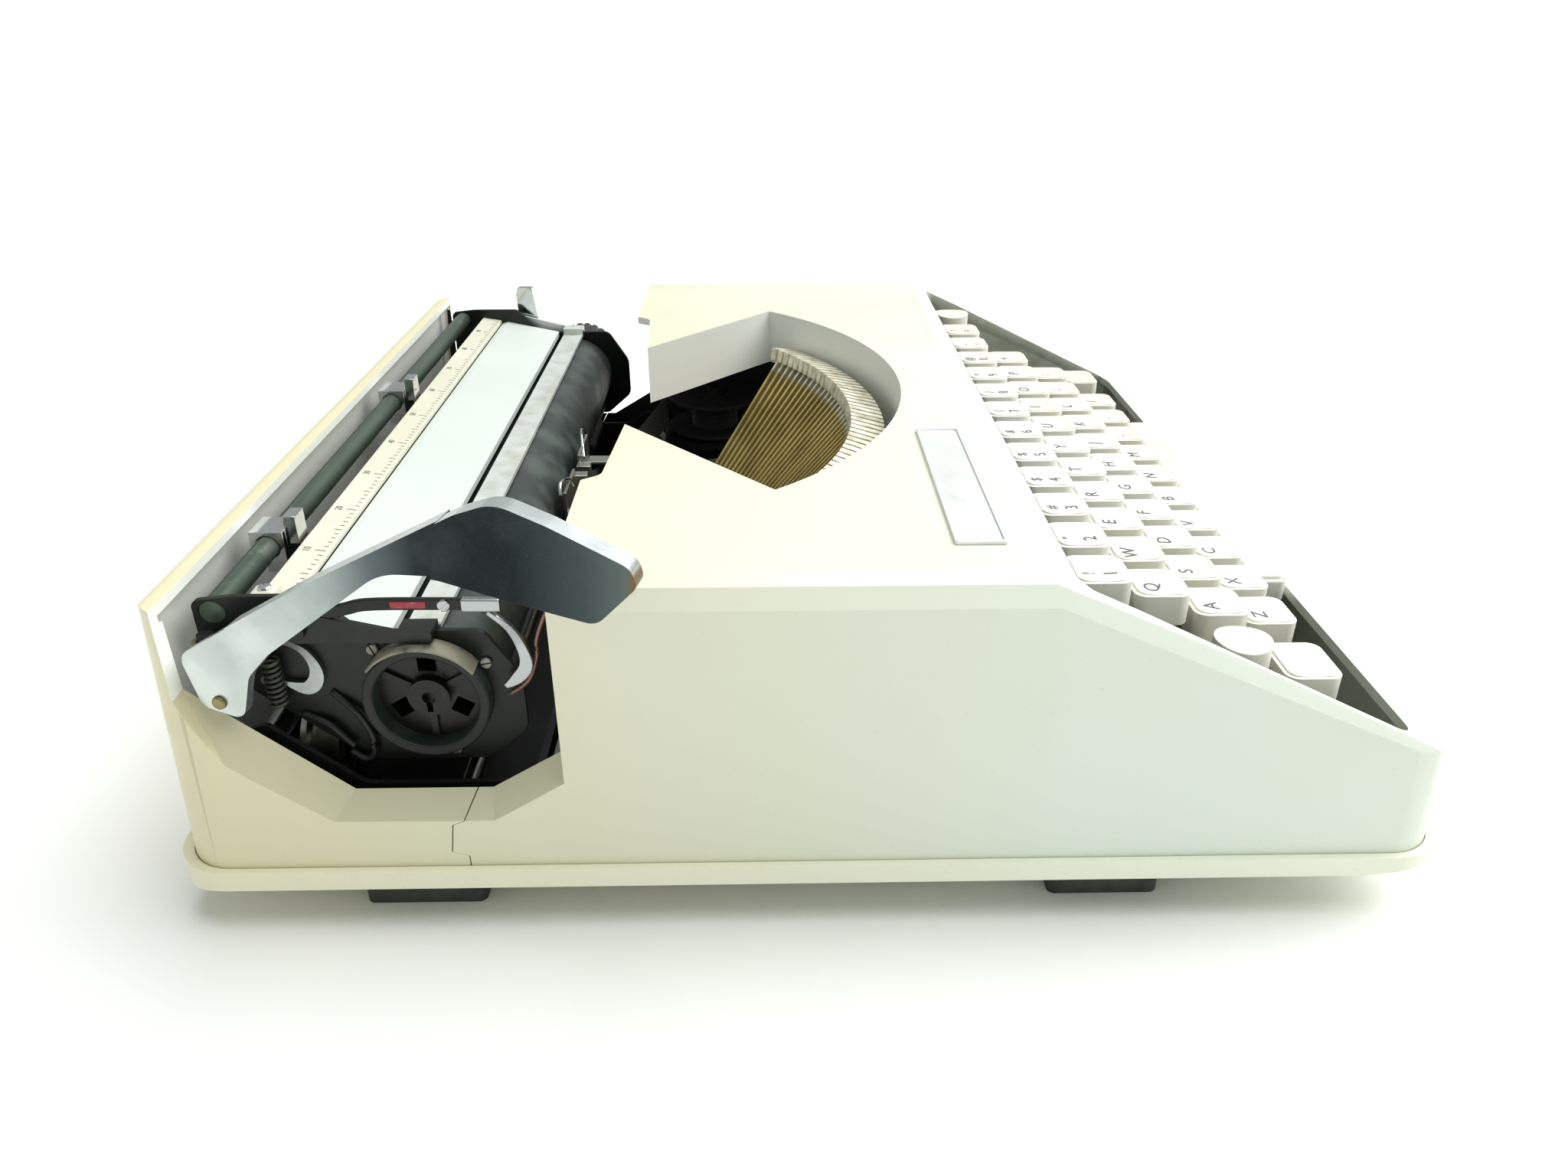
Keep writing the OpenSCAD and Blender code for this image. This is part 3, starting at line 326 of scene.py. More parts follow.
MAT = {
    "case_cream": moulded_plastic(
        "case_cream", srgb(231, 238, 226), srgb(228, 234, 217), srgb(176, 170, 142),
        rear=srgb(228, 220, 182)),
    "tray_cream": moulded_plastic(
        "tray_cream", srgb(246, 249, 230), srgb(243, 244, 222), srgb(168, 158, 124),
        rear=srgb(241, 236, 206)),
    "key_plastic": moulded_plastic(
        "key_plastic", srgb(240, 240, 232), srgb(234, 231, 215), srgb(150, 145, 130), 0.28, 0.03),
    "foot_rubber": rubber("foot_rubber", srgb(52, 56, 50), srgb(92, 97, 88)),
    "plated_steel": bright_metal("plated_steel", srgb(196, 197, 192), srgb(138, 134, 122), 0.22),
    "badge_alloy": bright_metal("badge_alloy", srgb(240, 242, 240), srgb(222, 224, 220), 0.42, 0.9),
    "frame_steel": coated_metal("frame_steel", srgb(34, 34, 33), srgb(92, 88, 78)),
    "ribbon_fabric": woven("ribbon_fabric", srgb(20, 20, 24), srgb(48, 46, 52)),
    "bell_steel": bright_metal("bell_steel", srgb(176, 174, 166), srgb(120, 112, 96), 0.28),
    "cast_segment": coated_metal("cast_segment", srgb(92, 90, 86), srgb(150, 146, 136), 0.42, 0.8, 0.6),
    "lever_steel": bright_metal("lever_steel", srgb(140, 138, 130), srgb(88, 80, 66), 0.38, 1.0),
    "spool_plastic": coated_metal("spool_plastic", srgb(38, 38, 38), srgb(84, 82, 78), 0.4, 0.1),
    "wheel_brass": bright_metal("wheel_brass", srgb(204, 172, 98), srgb(134, 102, 48), 0.3),
    "end_steel": coated_metal("end_steel", srgb(24, 28, 25), srgb(70, 68, 56), 0.42, 0.3, 0.66),
    "table_paint": moulded_plastic(
        "table_paint", srgb(216, 224, 218), srgb(208, 216, 208), srgb(150, 152, 146), 0.3, 0.03),
    "scale_plastic": moulded_plastic(
        "scale_plastic", srgb(220, 221, 206), srgb(214, 212, 190), srgb(150, 140, 112)),
    "rail_steel": coated_metal("rail_steel", srgb(84, 98, 86), srgb(128, 136, 124), 0.34, 0.6, 0.6),
    "feed_rubber": rubber("feed_rubber", srgb(30, 30, 30), srgb(70, 70, 66)),
    "platen_rubber": rubber("platen_rubber", srgb(42, 50, 47), srgb(82, 92, 88), 0.42),
    "hub_steel": coated_metal("hub_steel", srgb(25, 25, 19), srgb(66, 60, 44), 0.42, 0.3, 0.62),
    "knob_plastic": moulded_plastic(
        "knob_plastic", srgb(30, 30, 30), srgb(40, 40, 38), srgb(90, 88, 84), 0.3),
    "bright_chrome": bright_metal("bright_chrome", srgb(222, 224, 226), srgb(196, 196, 194), 0.05, 0.5),
    # near-black paint: painted shade for the tray's floor and walls and for the gap behind the margin rail
    "painted_shade_black": coated_metal("painted_shade_black", srgb(26, 30, 27), srgb(58, 60, 54), 0.8, 0.0),
    # cover colour in front of PALE_LINING_TO, painted shade behind it
    "cover_painted_shade": two_tone("cover_painted_shade", "Y", PALE_LINING_TO, srgb(228, 234, 220), srgb(26, 30, 27)),
    "bail_plate": two_tone(
        "bail_plate", "X", BLACK_BAIL_TO, srgb(34, 36, 33), srgb(220, 226, 222), 0.34, 0.3),
    # darker copy of the case colour: painted shade for the sloping faces round the carriage cut-outs; its
    # darker rear tone is painted shade too
    "painted_shade_cream": moulded_plastic(
        "painted_shade_cream", srgb(214, 216, 192), srgb(208, 210, 184), srgb(168, 158, 124),
        rear=srgb(204, 198, 164)),
    # lighter copy of the case colour: painted light for inner faces that stand in shade
    "painted_light_cream": moulded_plastic("painted_light_cream", srgb(252, 254, 248), srgb(250, 252, 242), srgb(196, 190, 166)),
    # near-black paint: painted shade on the platen's end faces
    "ring_painted_shade": coated_metal("ring_painted_shade", srgb(9, 13, 11), srgb(40, 44, 40), 0.55, 0.0, 0.75),
    "worn_paint": coated_metal("worn_paint", srgb(142, 138, 120), srgb(62, 62, 52), 0.5, 0.2, 0.5),
    "spring_steel": coated_metal("spring_steel", srgb(74, 76, 66), srgb(120, 116, 98), 0.4, 0.6),
    "worn_plating": bright_metal("worn_plating", srgb(176, 180, 180), srgb(84, 84, 76), 0.24, 1.0),
    "zinc_plate": bright_metal("zinc_plate", srgb(150, 142, 104), srgb(104, 94, 62), 0.4),
    "lever_plate": lever_plate("lever_plate"),
    "type_metal": type_metal(
        "type_metal", srgb(214, 194, 124), srgb(152, 128, 76), srgb(255, 252, 236),
        srgb(206, 196, 168)),
    "legend_ink": coated_metal("legend_ink", srgb(84, 90, 94), srgb(120, 124, 126), 0.5, 0.0),
    "copper_wire": coated_metal("copper_wire", srgb(150, 112, 98), srgb(196, 160, 140), 0.4, 0.5),
    "red_mark": coated_metal("red_mark", srgb(168, 46, 60), srgb(208, 168, 170), 0.4, 0.0, 0.55),
}

# ---------------------------------------------------------------- refined copies of CAD nodes

# points closer than this are merged, and faces that turn by less than this are joined
SAME_POINT = 0.003 * MM
SAME_PLANE = math.radians(0.5)


def clean_copy(node, sharp, soft):
    """New object with the node's mesh, merged, with flat faces joined and edges over the angle marked sharp.

    Each (picks, width) in soft first rounds the edges that picks() chooses by width millimetres.
    """
    bm = bmesh.new()
    bm.from_mesh(NODES[node].data)
    bmesh.ops.remove_doubles(bm, verts=bm.verts, dist=SAME_POINT)
    bmesh.ops.dissolve_limit(bm, angle_limit=SAME_PLANE, verts=bm.verts, edges=bm.edges)
    for picks, width in soft:
        joins = [e for e in bm.edges if len(e.link_faces) == 2]
        picked = [e for e in joins if picks(e, math.degrees(e.calc_face_angle(0)))]
        bmesh.ops.bevel(bm, geom=picked, offset=width * MM, segments=4, profile=0.5, affect="EDGES",
                        offset_type="OFFSET", clamp_overlap=True)
    for face in bm.faces:
        face.smooth = True
    for edge in bm.edges:
        edge.smooth = len(edge.link_faces) == 2 and edge.calc_face_angle(0) < math.radians(sharp)
    mesh = bpy.data.meshes.new(node + "_body")
    bm.to_mesh(mesh)
    bm.free()
    obj = bpy.data.objects.new(node + "_piece", mesh)
    bpy.context.scene.collection.objects.link(obj)
    return obj


def round_edges(obj, width, segments, sharp):
    """Rounds the edges sharper than the angle by width millimetres."""
    b = obj.modifiers.new("edges", "BEVEL")
    b.width = width * MM
    b.segments = segments
    b.limit_method = "ANGLE"
    b.angle_limit = math.radians(sharp)
    b.miter_outer = "MITER_ARC"


def refine(node, bevel, segments=2, sharp=34.0, material=None, soft=()):
    """Replaces a CAD node with a copy whose hard edges are rounded by bevel millimetres."""
    obj = clean_copy(node, sharp, soft)
    round_edges(obj, bevel, segments, sharp)
    w = obj.modifiers.new("normals", "WEIGHTED_NORMAL")
    w.keep_sharp = True
    w.weight = 70
    obj.data.materials.append(material or MAT[SLOT[node]])
    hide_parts(node)
    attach(obj, BODY[node])
    return obj


# where the faces of the covers and of the tray are told apart, in millimetres
SIDE_WALL, REAR_WALL, ROOF_LOW = 133.0, 140.0, 30.0
CUTOUT_FRONT, CUTOUT_REAR, CUTOUT_TOP = 50.0, 146.0, 72.0
OPENING_HALF, OPENING_FRONT, SKIRT_LOW = 100.0, -40.0, 60.0
TRAY_FLOOR, TRAY_LIP, TRAY_HALF_X, TRAY_HALF_Y = 12.4, 16.6, 137.0, 151.0


def outside_edge(edge, angle):
    """True for a long blunt edge of a side wall between two faces that look away from the machine."""
    ends = [v.co / MM for v in edge.verts]
    outwards = all(f.normal.x * ends[0].x > 0 or f.normal.z > 0.85 for f in edge.link_faces)
    on_side = min(abs(e.x) for e in ends) > SIDE_WALL - 0.2
    return 14 < angle < 62 and on_side and outwards and edge.calc_length() > 6 * MM


def shoulder_edge(edge, angle):
    """Lengthwise edges where the side walls turn into the roof and the key slope."""
    a, b = (v.co / MM for v in edge.verts)
    lengthwise = abs(a.x - b.x) < 0.5 and abs(a.y - b.y) > 30
    clear_of_tray = a.z > 25
    return outside_edge(edge, angle) and lengthwise and clear_of_tray


def cutout_edge(edge, angle):
    """Edges of the sunk faces round the carriage cut-outs in the side walls."""
    a, b = (v.co / MM for v in edge.verts)
    below_roof = max(a.z, b.z) < 80
    behind_front = max(a.y, b.y) > CUTOUT_FRONT + 5 and min(a.y, b.y) > CUTOUT_FRONT
    return outside_edge(edge, angle) and below_roof and behind_front


def paint(obj, material, picked):
    """Gives another material to the faces that picked(corners in millimetres, normal) chooses."""
    obj.data.materials.append(material)
    for face in obj.data.polygons:
        corners = [obj.data.vertices[v].co / MM for v in face.vertices]
        if picked(corners, face.normal):
            face.material_index = len(obj.data.materials) - 1


def inside_cover(corners, normal):
    """Inner faces of the side walls and of the roof."""
    inwards = normal.x * corners[0].x < 0 and abs(normal.x) > 0.9
    side = inwards and all(abs(c.x) > SIDE_WALL for c in corners)
    roof = normal.z < -0.5 and all(c.z > ROOF_LOW for c in corners)
    return side or roof


def type_skirt(corners, normal):
    """Upright faces that hang from the edge of the type opening."""
    near = all(abs(c.x) < OPENING_HALF and c.y > OPENING_FRONT and c.z > SKIRT_LOW for c in corners)
    return abs(normal.z) < 0.3 and near


def inside_rear_wall(corners, normal):
    """The face of the rear wall that looks at the carriage."""
    return normal.y < -0.8 and all(c.y > REAR_WALL for c in corners)


def sunk_round_cutout(corners, normal):
    """Sloping faces that lead in to the carriage cut-outs."""
    sloping = normal.x * corners[0].x > 0 and 0.3 < abs(normal.x) < 0.97
    on_side = all(abs(c.x) > SIDE_WALL for c in corners)
    near = all(CUTOUT_FRONT < c.y < CUTOUT_REAR and c.z < CUTOUT_TOP for c in corners)
    return sloping and on_side and near


def inside_tray(corners, normal):
    """The tray's floor and the low walls that stand round it."""
    bottom = normal.z > 0.5 and all(c.z < TRAY_LIP - 0.2 for c in corners)
    within_rim = all(abs(c.x) < TRAY_HALF_X and abs(c.y) < TRAY_HALF_Y for c in corners)
    wall = abs(normal.z) < 0.1 and all(TRAY_FLOOR < c.z < TRAY_LIP for c in corners)
    return bottom or (wall and within_rim)


COVER = dict(bevel=0.7, segments=3, sharp=46.0)
REFINED = {
    "top_cover": dict(COVER, soft=[(shoulder_edge, 1.9), (cutout_edge, 1.6)]),
    "rear_cover": dict(COVER, soft=[(cutout_edge, 1.6)]),
    "base_tray": dict(bevel=0.8, segments=3, material=MAT["tray_cream"]),
    "rubber_feet": dict(bevel=0.6),
    "badge_plate": dict(bevel=0.12),
    "caps_row_1": dict(bevel=0.5),
    "caps_row_2": dict(bevel=0.5),
    "caps_row_3": dict(bevel=0.5),
    "caps_row_4": dict(bevel=0.5),
    "center_cap": dict(bevel=0.5),
    "shift_caps": dict(bevel=0.5),
    "space_bar": dict(bevel=0.6),
    "lock_key": dict(bevel=0.4),
    "backspace_key": dict(bevel=0.4),
    "return_lever": dict(bevel=1.0, segments=4, material=MAT["lever_plate"]),
    "lever_bracket": dict(bevel=0.3, material=MAT["zinc_plate"]),
    "paper_table": dict(bevel=0.4),
    "margin_scale": dict(bevel=0.3),
    "paper_bail": dict(bevel=0.25, material=MAT["bail_plate"]),
    "margin_stop_left": dict(bevel=0.4),
    "margin_stop_right": dict(bevel=0.4),
    "paper_release": dict(bevel=0.35),
    "end_plate_left": dict(bevel=0.25),
    "end_plate_right": dict(bevel=0.25),
    "platen_knob": dict(bevel=0.4),
    "platen_roller": dict(bevel=0.4),
    "platen_hub": dict(bevel=0.2),
    "margin_rail": dict(bevel=0.3),
    "typebars": dict(bevel=0.12, material=MAT["type_metal"]),
    "center_typebar": dict(bevel=0.12, material=MAT["type_metal"]),
    "type_segment": dict(bevel=0.2),
    "spool_left": dict(bevel=0.2),
    "spool_right": dict(bevel=0.2),
    "carriage_frame": dict(bevel=0.25),
    "type_guide": dict(bevel=0.15),
}
PIECE = {}
for node, options in REFINED.items():
    PIECE[node] = refine(node, **options)
for node in ("top_cover", "rear_cover"):
    # inner faces of the covers: cover colour in front of the key well, painted shade behind it
    paint(PIECE[node], MAT["cover_painted_shade"], inside_cover)
    # the sloping faces round the cut-outs get painted shade
    paint(PIECE[node], MAT["painted_shade_cream"], sunk_round_cutout)
# the skirt of the type opening and the inner face of the rear wall get painted light
paint(PIECE["top_cover"], MAT["painted_light_cream"], type_skirt)
paint(PIECE["rear_cover"], MAT["painted_light_cream"], inside_rear_wall)
# the tray's floor and low walls get painted shade
paint(PIECE["base_tray"], MAT["painted_shade_black"], inside_tray)
# the platen's end faces get painted shade
paint(PIECE["platen_roller"], MAT["ring_painted_shade"], lambda corners, normal: abs(normal.x) > 0.9)
for node, obj in NODES.items():
    if node not in REFINED:
        obj.data.materials.clear()
        obj.data.materials.append(MAT[SLOT[node]])

# ---------------------------------------------------------------- pieces that the CAD leaves out


def place(name, mesh, material, node, bevel=0.0):
    """Puts a mesh in millimetres into the scene with the given material; it moves with the node's body."""
    mesh.transform(Matrix.Scale(MM, 4))
    mesh.materials.append(material)
    obj = bpy.data.objects.new(name, mesh)
    bpy.context.scene.collection.objects.link(obj)
    if bevel:
        round_edges(obj, bevel, 2, 30.0)
    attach(obj, BODY[node])


def mesh_of(name, build):
    """Mesh made by build(bm), with outward normals."""
    bm = bmesh.new()
    build(bm)
    bmesh.ops.recalc_face_normals(bm, faces=bm.faces)
    mesh = bpy.data.meshes.new(name)
    bm.to_mesh(mesh)
    bm.free()
    return mesh


def smooth(points, steps=6):
    """Points along a Catmull-Rom curve through the given ones."""
    p = [Vector(points[0])] + [Vector(q) for q in points] + [Vector(points[-1])]
    out = []
    for a, b, c, d in zip(p, p[1:], p[2:], p[3:]):
        bend = 2 * a - 5 * b + 4 * c - d
        twist = 3 * b - a - 3 * c + d
        for k in range(steps):
            t = k / steps
            out.append(0.5 * (2 * b + (c - a) * t + bend * t ** 2 + twist * t ** 3))
    return out + [p[-1]]


def tube_into(bm, points, radius, sides=10):
    """Round wire along the points."""
    rings = []
    for k, point in enumerate(points):
        ahead = points[min(k + 1, len(points) - 1)] - points[max(k - 1, 0)]
        turn = ahead.to_track_quat("Z", "Y").to_matrix()
        rings.append([bm.verts.new(point + turn @ Vector((radius * math.cos(a), radius * math.sin(a), 0)))
                      for a in (2 * math.pi * n / sides for n in range(sides))])
    for near, far in zip(rings, rings[1:]):
        for n in range(sides):
            face = bm.faces.new((near[n], near[(n + 1) % sides], far[(n + 1) % sides], far[n]))
            face.smooth = True
    bm.faces.new(rings[0])
    bm.faces.new(rings[-1])


def wire(name, points, radius, material, node, steps=6):
    """Round wire along a smooth line through the (x, y, z) points."""
    path = smooth(points, steps)
    place(name, mesh_of(name, lambda bm: tube_into(bm, path, radius)), material, node)


def slab_into(bm, outline, x0, x1):
    """Plate between two values of x with the (y, z) outline."""
    near = [bm.verts.new((x0, y, z)) for y, z in outline]
    far = [bm.verts.new((x1, y, z)) for y, z in outline]
    bm.faces.new(near)
    bm.faces.new(far)
    for n in range(len(outline)):
        m = (n + 1) % len(outline)
        bm.faces.new((near[n], near[m], far[m], far[n]))


def strip(name, points, widths, x0, x1, material, node, bevel=0.3):
    """Flat strip in a plane across x: a smooth (y, z) centreline with a width at each of its points."""
    path = smooth([(y, z, w) for (y, z), w in zip(points, widths)])
    sides = ([], [])
    for k, p in enumerate(path):
        ahead = path[min(k + 1, len(path) - 1)] - path[max(k - 1, 0)]
        across = Vector((-ahead.y, ahead.x)).normalized() * p.z / 2
        sides[0].append((p.x + across.x, p.y + across.y))
        sides[1].append((p.x - across.x, p.y - across.y))
    outline = sides[0] + sides[1][::-1]
    place(name, mesh_of(name, lambda bm: slab_into(bm, outline, x0, x1)), material, node, bevel)


# a slotted screw head, as shares of its radius or of its height
SLOT_HALF, SLOT_REACH, SLOT_DEPTH = 0.14, 0.9, 0.45
DOME_RADIUS, DOME_START = 0.82, 0.7
RIM_STEPS = 12


def screw_into(bm, at, radius, height, facing, slot_angle):
    """Slotted cheese head with a domed edge; facing is the direction that its head points in."""
    turn = Vector(facing).to_track_quat("Z", "Y").to_matrix() @ Matrix.Rotation(slot_angle, 3, "Z")

    def corner(x, y, z):
        return turn @ Vector((x, y, z)) + Vector(at)

    half = SLOT_HALF * radius
    start = math.asin(half / radius)
    for side in (-1, 1):
        rim = []
        for k in range(RIM_STEPS + 1):
            a = start + (math.pi - 2 * start) * k / RIM_STEPS
            rim.append((radius * math.cos(a), side * radius * math.sin(a)))
        dome = [(DOME_RADIUS * x, side * half + DOME_RADIUS * (y - side * half)) for x, y in rim]
        low = [bm.verts.new(corner(x, y, 0)) for x, y in rim]
        mid = [bm.verts.new(corner(x, y, DOME_START * height)) for x, y in rim]
        top = [bm.verts.new(corner(x, y, height)) for x, y in dome]
        for lower, upper in ((low, mid), (mid, top)):
            for n in range(len(rim)):
                m = (n + 1) % len(rim)
                bm.faces.new((lower[n], lower[m], upper[m], upper[n]))
        bm.faces.new(top)
        bm.faces.new(low)
    reach, level = SLOT_REACH * radius, height - SLOT_DEPTH * height
    slot_floor = ((-reach, -half), (reach, -half), (reach, half), (-reach, half))
    bm.faces.new([bm.verts.new(corner(x, y, level)) for x, y in slot_floor])


def screws(name, spots, radius, facing, material, node, height=0.9):
    """Screw heads at the spots, each slot turned at random."""
    def build(bm):
        for spot in spots:
            screw_into(bm, spot, radius, height, facing, random.uniform(0, 3))
    place(name, mesh_of(name, build), material, node)


def block(name, lo, hi, material, node, bevel):
    """Block between two corners, with its edges rounded by bevel millimetres."""
    lo, hi = Vector(lo), Vector(hi)
    matrix = Matrix.Translation((lo + hi) / 2) @ Matrix.Diagonal((hi - lo).to_4d())
    mesh = mesh_of(name, lambda bm: bmesh.ops.create_cube(bm, size=1.0, matrix=matrix))
    place(name, mesh, material, node, bevel)


def letters(name, text, size):
    """Mesh of the text in millimetres, lying flat with its middle at the origin."""
    curve = bpy.data.curves.new(name, "FONT")
    curve.body = text
    curve.size = size
    curve.align_x = "CENTER"
    curve.align_y = "CENTER"
    curve.resolution_u = 3
    curve.extrude = 0.03
    holder = bpy.data.objects.new(name, curve)
    bpy.context.scene.collection.objects.link(holder)
    bpy.context.view_layer.update()
    depsgraph = bpy.context.evaluated_depsgraph_get()
    mesh = bpy.data.meshes.new_from_object(holder.evaluated_get(depsgraph))
    bpy.data.objects.remove(holder)
    return mesh


random.seed(7)

# key legends: each lies left of the middle in the hollow of its cap, whose lowest line is DISH_RISE under
# the top of the cap; a SPOT is the distance from the middle of the row and the size of the letter
KEY_PITCH, CAP_HALF = 18.9, 7.4
DISH_RADIUS, DISH_RISE = 40.0, 0.445
LEGEND_LEFT, LEGEND_LIFT = 2.6, 0.05
LOWER_SPOT, UPPER_SPOT, SINGLE_SPOT = (-2.4, 4.6), (2.8, 4.2), (1.8, 5.4)
ROWS = (("1234567890-=", '!"#$%&()*@_?'), ("QWERTYUIOP+", ""), ("ASDFGHJKL;:", ""), ("ZXCVBNM,./", ""))
CENTER_ROW, CENTER_KEY = 2, 5


def legend(name, glyphs, node):
    """Legends on the caps of one node; glyphs holds (text, x, y from the middle of the row, size)."""
    lo, hi = box_mm(node)
    bm = bmesh.new()
    for text, x, y, tall in glyphs:
        mesh = letters("glyph", text, tall)
        mesh.transform(Matrix.Translation((x, y, hi.z - DISH_RISE + LEGEND_LIFT)))
        for v in mesh.vertices:
            v.co.z += DISH_RADIUS - math.sqrt(DISH_RADIUS ** 2 - v.co.y ** 2)
        mesh.transform(Matrix.Translation((0, (lo.y + hi.y) / 2, 0)))
        bm.from_mesh(mesh)
        bpy.data.meshes.remove(mesh)
    mesh = bpy.data.meshes.new(name)
    bm.to_mesh(mesh)
    bm.free()
    place(name, mesh, MAT["legend_ink"], node)


for row, (lower, upper) in enumerate(ROWS):
    caps = f"caps_row_{row + 1}"
    first = box_mm(caps)[0].x + CAP_HALF - LEGEND_LEFT
    glyphs, middle = [], []
    for k, text in enumerate(lower):
        x = first + KEY_PITCH * k
        if upper:
            spots = [(text, x, *LOWER_SPOT), (upper[k], x, *UPPER_SPOT)]
        else:
            spots = [(text, x, *SINGLE_SPOT)]
        on_center_key = row == CENTER_ROW and k == CENTER_KEY
        (middle if on_center_key else glyphs).extend(spots)
    legend(f"legend_row_{row + 1}", glyphs, caps)
    if middle:
        legend("legend_center", middle, "center_cap")

# marks on the margin scale; its top rises from SCALE_FRONT above the bottom to the full height at the back
SCALE_FRONT = 1.5
TICK_PITCH, TICK_HALF, TICK_THICK = 2.54, 0.16, 0.04
TICK_SHORT, TICK_MIDDLE, TICK_LONG = 1.1, 1.8, 2.6
TICK_MARGIN, TICK_FROM = (5.0, 3.0), 0.8
MIDDLE_EVERY, NUMBER_EVERY, NUMBER_SIZE, NUMBER_FROM, NUMBER_LIFT = 5, 10, 2.6, 5.4, 0.03


def scale_marks():
    """Ticks and numbers printed on the sloping top of the margin scale."""
    lo, hi = box_mm("margin_scale")
    rise = (hi.z - lo.z - SCALE_FRONT) / (hi.y - lo.y)

    def on_top(x, depth, lift=0.0):
        return (x, lo.y + depth, lo.z + SCALE_FRONT + depth * rise + lift)

    bm = bmesh.new()
    for k in range(int((hi.x - lo.x - sum(TICK_MARGIN)) / TICK_PITCH) + 1):
        x = lo.x + TICK_MARGIN[0] + TICK_PITCH * k
        numbered = k % NUMBER_EVERY == 0
        length = TICK_LONG if numbered else TICK_MIDDLE if k % MIDDLE_EVERY == 0 else TICK_SHORT
        left, right, back = x - TICK_HALF, x + TICK_HALF, TICK_FROM + length
        corners = ((left, TICK_FROM), (right, TICK_FROM), (right, back), (left, back))
        low = [bm.verts.new(on_top(*c)) for c in corners]
        top = [bm.verts.new(on_top(*c, TICK_THICK)) for c in corners]
        bm.faces.new(top)
        for n in range(4):
            m = (n + 1) % 4
            bm.faces.new((low[n], low[m], top[m], top[n]))
        if numbered:
            mesh = letters("number", str(k), NUMBER_SIZE)
            tilt = Matrix.Rotation(math.atan(rise), 4, "X")
            mesh.transform(Matrix.Translation(on_top(0, NUMBER_FROM, NUMBER_LIFT)) @ tilt)
            mesh.transform(Matrix.Translation((x, 0, 0)))
            bm.from_mesh(mesh)
            bpy.data.meshes.remove(mesh)
    mesh = bpy.data.meshes.new("scale_marks")
    bm.to_mesh(mesh)
    bm.free()
    place("scale_marks", mesh, MAT["legend_ink"], "margin_scale")


scale_marks()

# left end of the carriage: x is given from the outer face of its end plate, where the margin rail starts
END = box_mm("margin_rail")[0].x
BLACK, PLATED = MAT["frame_steel"], MAT["worn_plating"]

# paper bail
strip("bail_finger", [(120, 79.4), (108, 82), (100, 83.3), (72.4, 83)], [2.6, 3, 3, 3],
      END - 3.3, END - 2.1, MAT["end_steel"], "paper_bail")
strip("bail_red_mark", [(97, 83.3), (89, 83.2)], [1.6, 1.6],
      END - 3.5, END - 3.2, MAT["red_mark"], "paper_bail", 0.1)
strip("bail_end", [(81, 83.1), (72.2, 83)], [3.2, 3.2],
      END - 3.8, END - 1.9, PLATED, "paper_bail", 0.4)
screws("bail_screw", [(END - 3.2, 85, 83.1)], 1.5, (-1, 0, 0), PLATED, "paper_bail", 0.6)
strip("bail_hook", [(75.3, 81.2), (70.9, 77), (68.4, 71.3), (68, 66.8), (70.4, 63.4), (73.4, 61.2)],
      [1.2, 1.8, 2.4, 3.2, 3, 1.2], END - 3.7, END - 2.3, PLATED, "paper_bail")

# line-feed pawl, the wires round it and its spring
pawl = [(128, 71.3), (124, 72.8), (120, 70.6), (117.8, 66.6), (118, 62.6), (120.6, 60.2), (125.6, 61.8)]
strip("return_pawl", pawl, [1.3, 1.4, 1.7, 2.6, 3.6, 3.6, 0.9],
      END - 1.7, END - 0.1, PLATED, "end_plate_left")
hanging = [(-2, 60.9, 82.6), (-2, 63.2, 78.4), (-2, 65.2, 73), (-2, 65.6, 68.6), (-1.6, 68.3, 61.7),
           (0, 73.4, 57)]
front = [(-0.2, 115.6, 58.4), (-1.6, 109.9, 52.9), (-1.6, 107.5, 46.4), (-1.6, 107.8, 41.4),
         (-1.6, 110.2, 39.8), (-1.6, 113.2, 42.2)]
rear = [(-0.2, 123.6, 52.4), (-1.6, 117.4, 50), (-1.6, 113.8, 45.6), (-1.6, 112.2, 43.6)]
for name, points, radius, material in (
        ("ribbon_wire", hanging, 0.5, MAT["copper_wire"]),
        ("bent_wire_front", front, 0.85, BLACK),
        ("bent_wire_rear", rear, 0.85, BLACK)):
    wire(name, [(END + x, y, z) for x, y, z in points], radius, material, "end_plate_left")

SPRING_TURNS, SPRING_STEPS, SPRING_RADIUS, SPRING_LENGTH = 9, 12, 1.9, 12.5
coil = []
for k in range(SPRING_TURNS * SPRING_STEPS + 1):
    angle = 2 * math.pi * k / SPRING_STEPS
    climb = SPRING_LENGTH * k / (SPRING_TURNS * SPRING_STEPS)
    round_x, round_y = SPRING_RADIUS * math.cos(angle), SPRING_RADIUS * math.sin(angle)
    coil.append((END - 2.2 + round_x, 127.4 + round_y, 56 + climb))
wire("pawl_spring", coil, 0.45, MAT["spring_steel"], "end_plate_left", 1)

# curved hood over the platen's end
HOOD_GAP, HOOD_THICK, HOOD_LENGTH = 0.3, 0.7, 6.0
roller_lo, roller_hi = box_mm("platen_roller")
axis_y, axis_z = (roller_lo.y + roller_hi.y) / 2, (roller_lo.z + roller_hi.z) / 2
hood_radius = (roller_hi.z - roller_lo.z) / 2 + HOOD_GAP + HOOD_THICK / 2
arc = [math.radians(a) for a in range(36, 141, 8)]
hood = [(axis_y - hood_radius * math.cos(a), axis_z + hood_radius * math.sin(a)) for a in arc]
strip("platen_hood", hood, [HOOD_THICK] * len(hood), END - HOOD_LENGTH, END - 0.1, MAT["worn_paint"],
      "end_plate_left", 0.2)

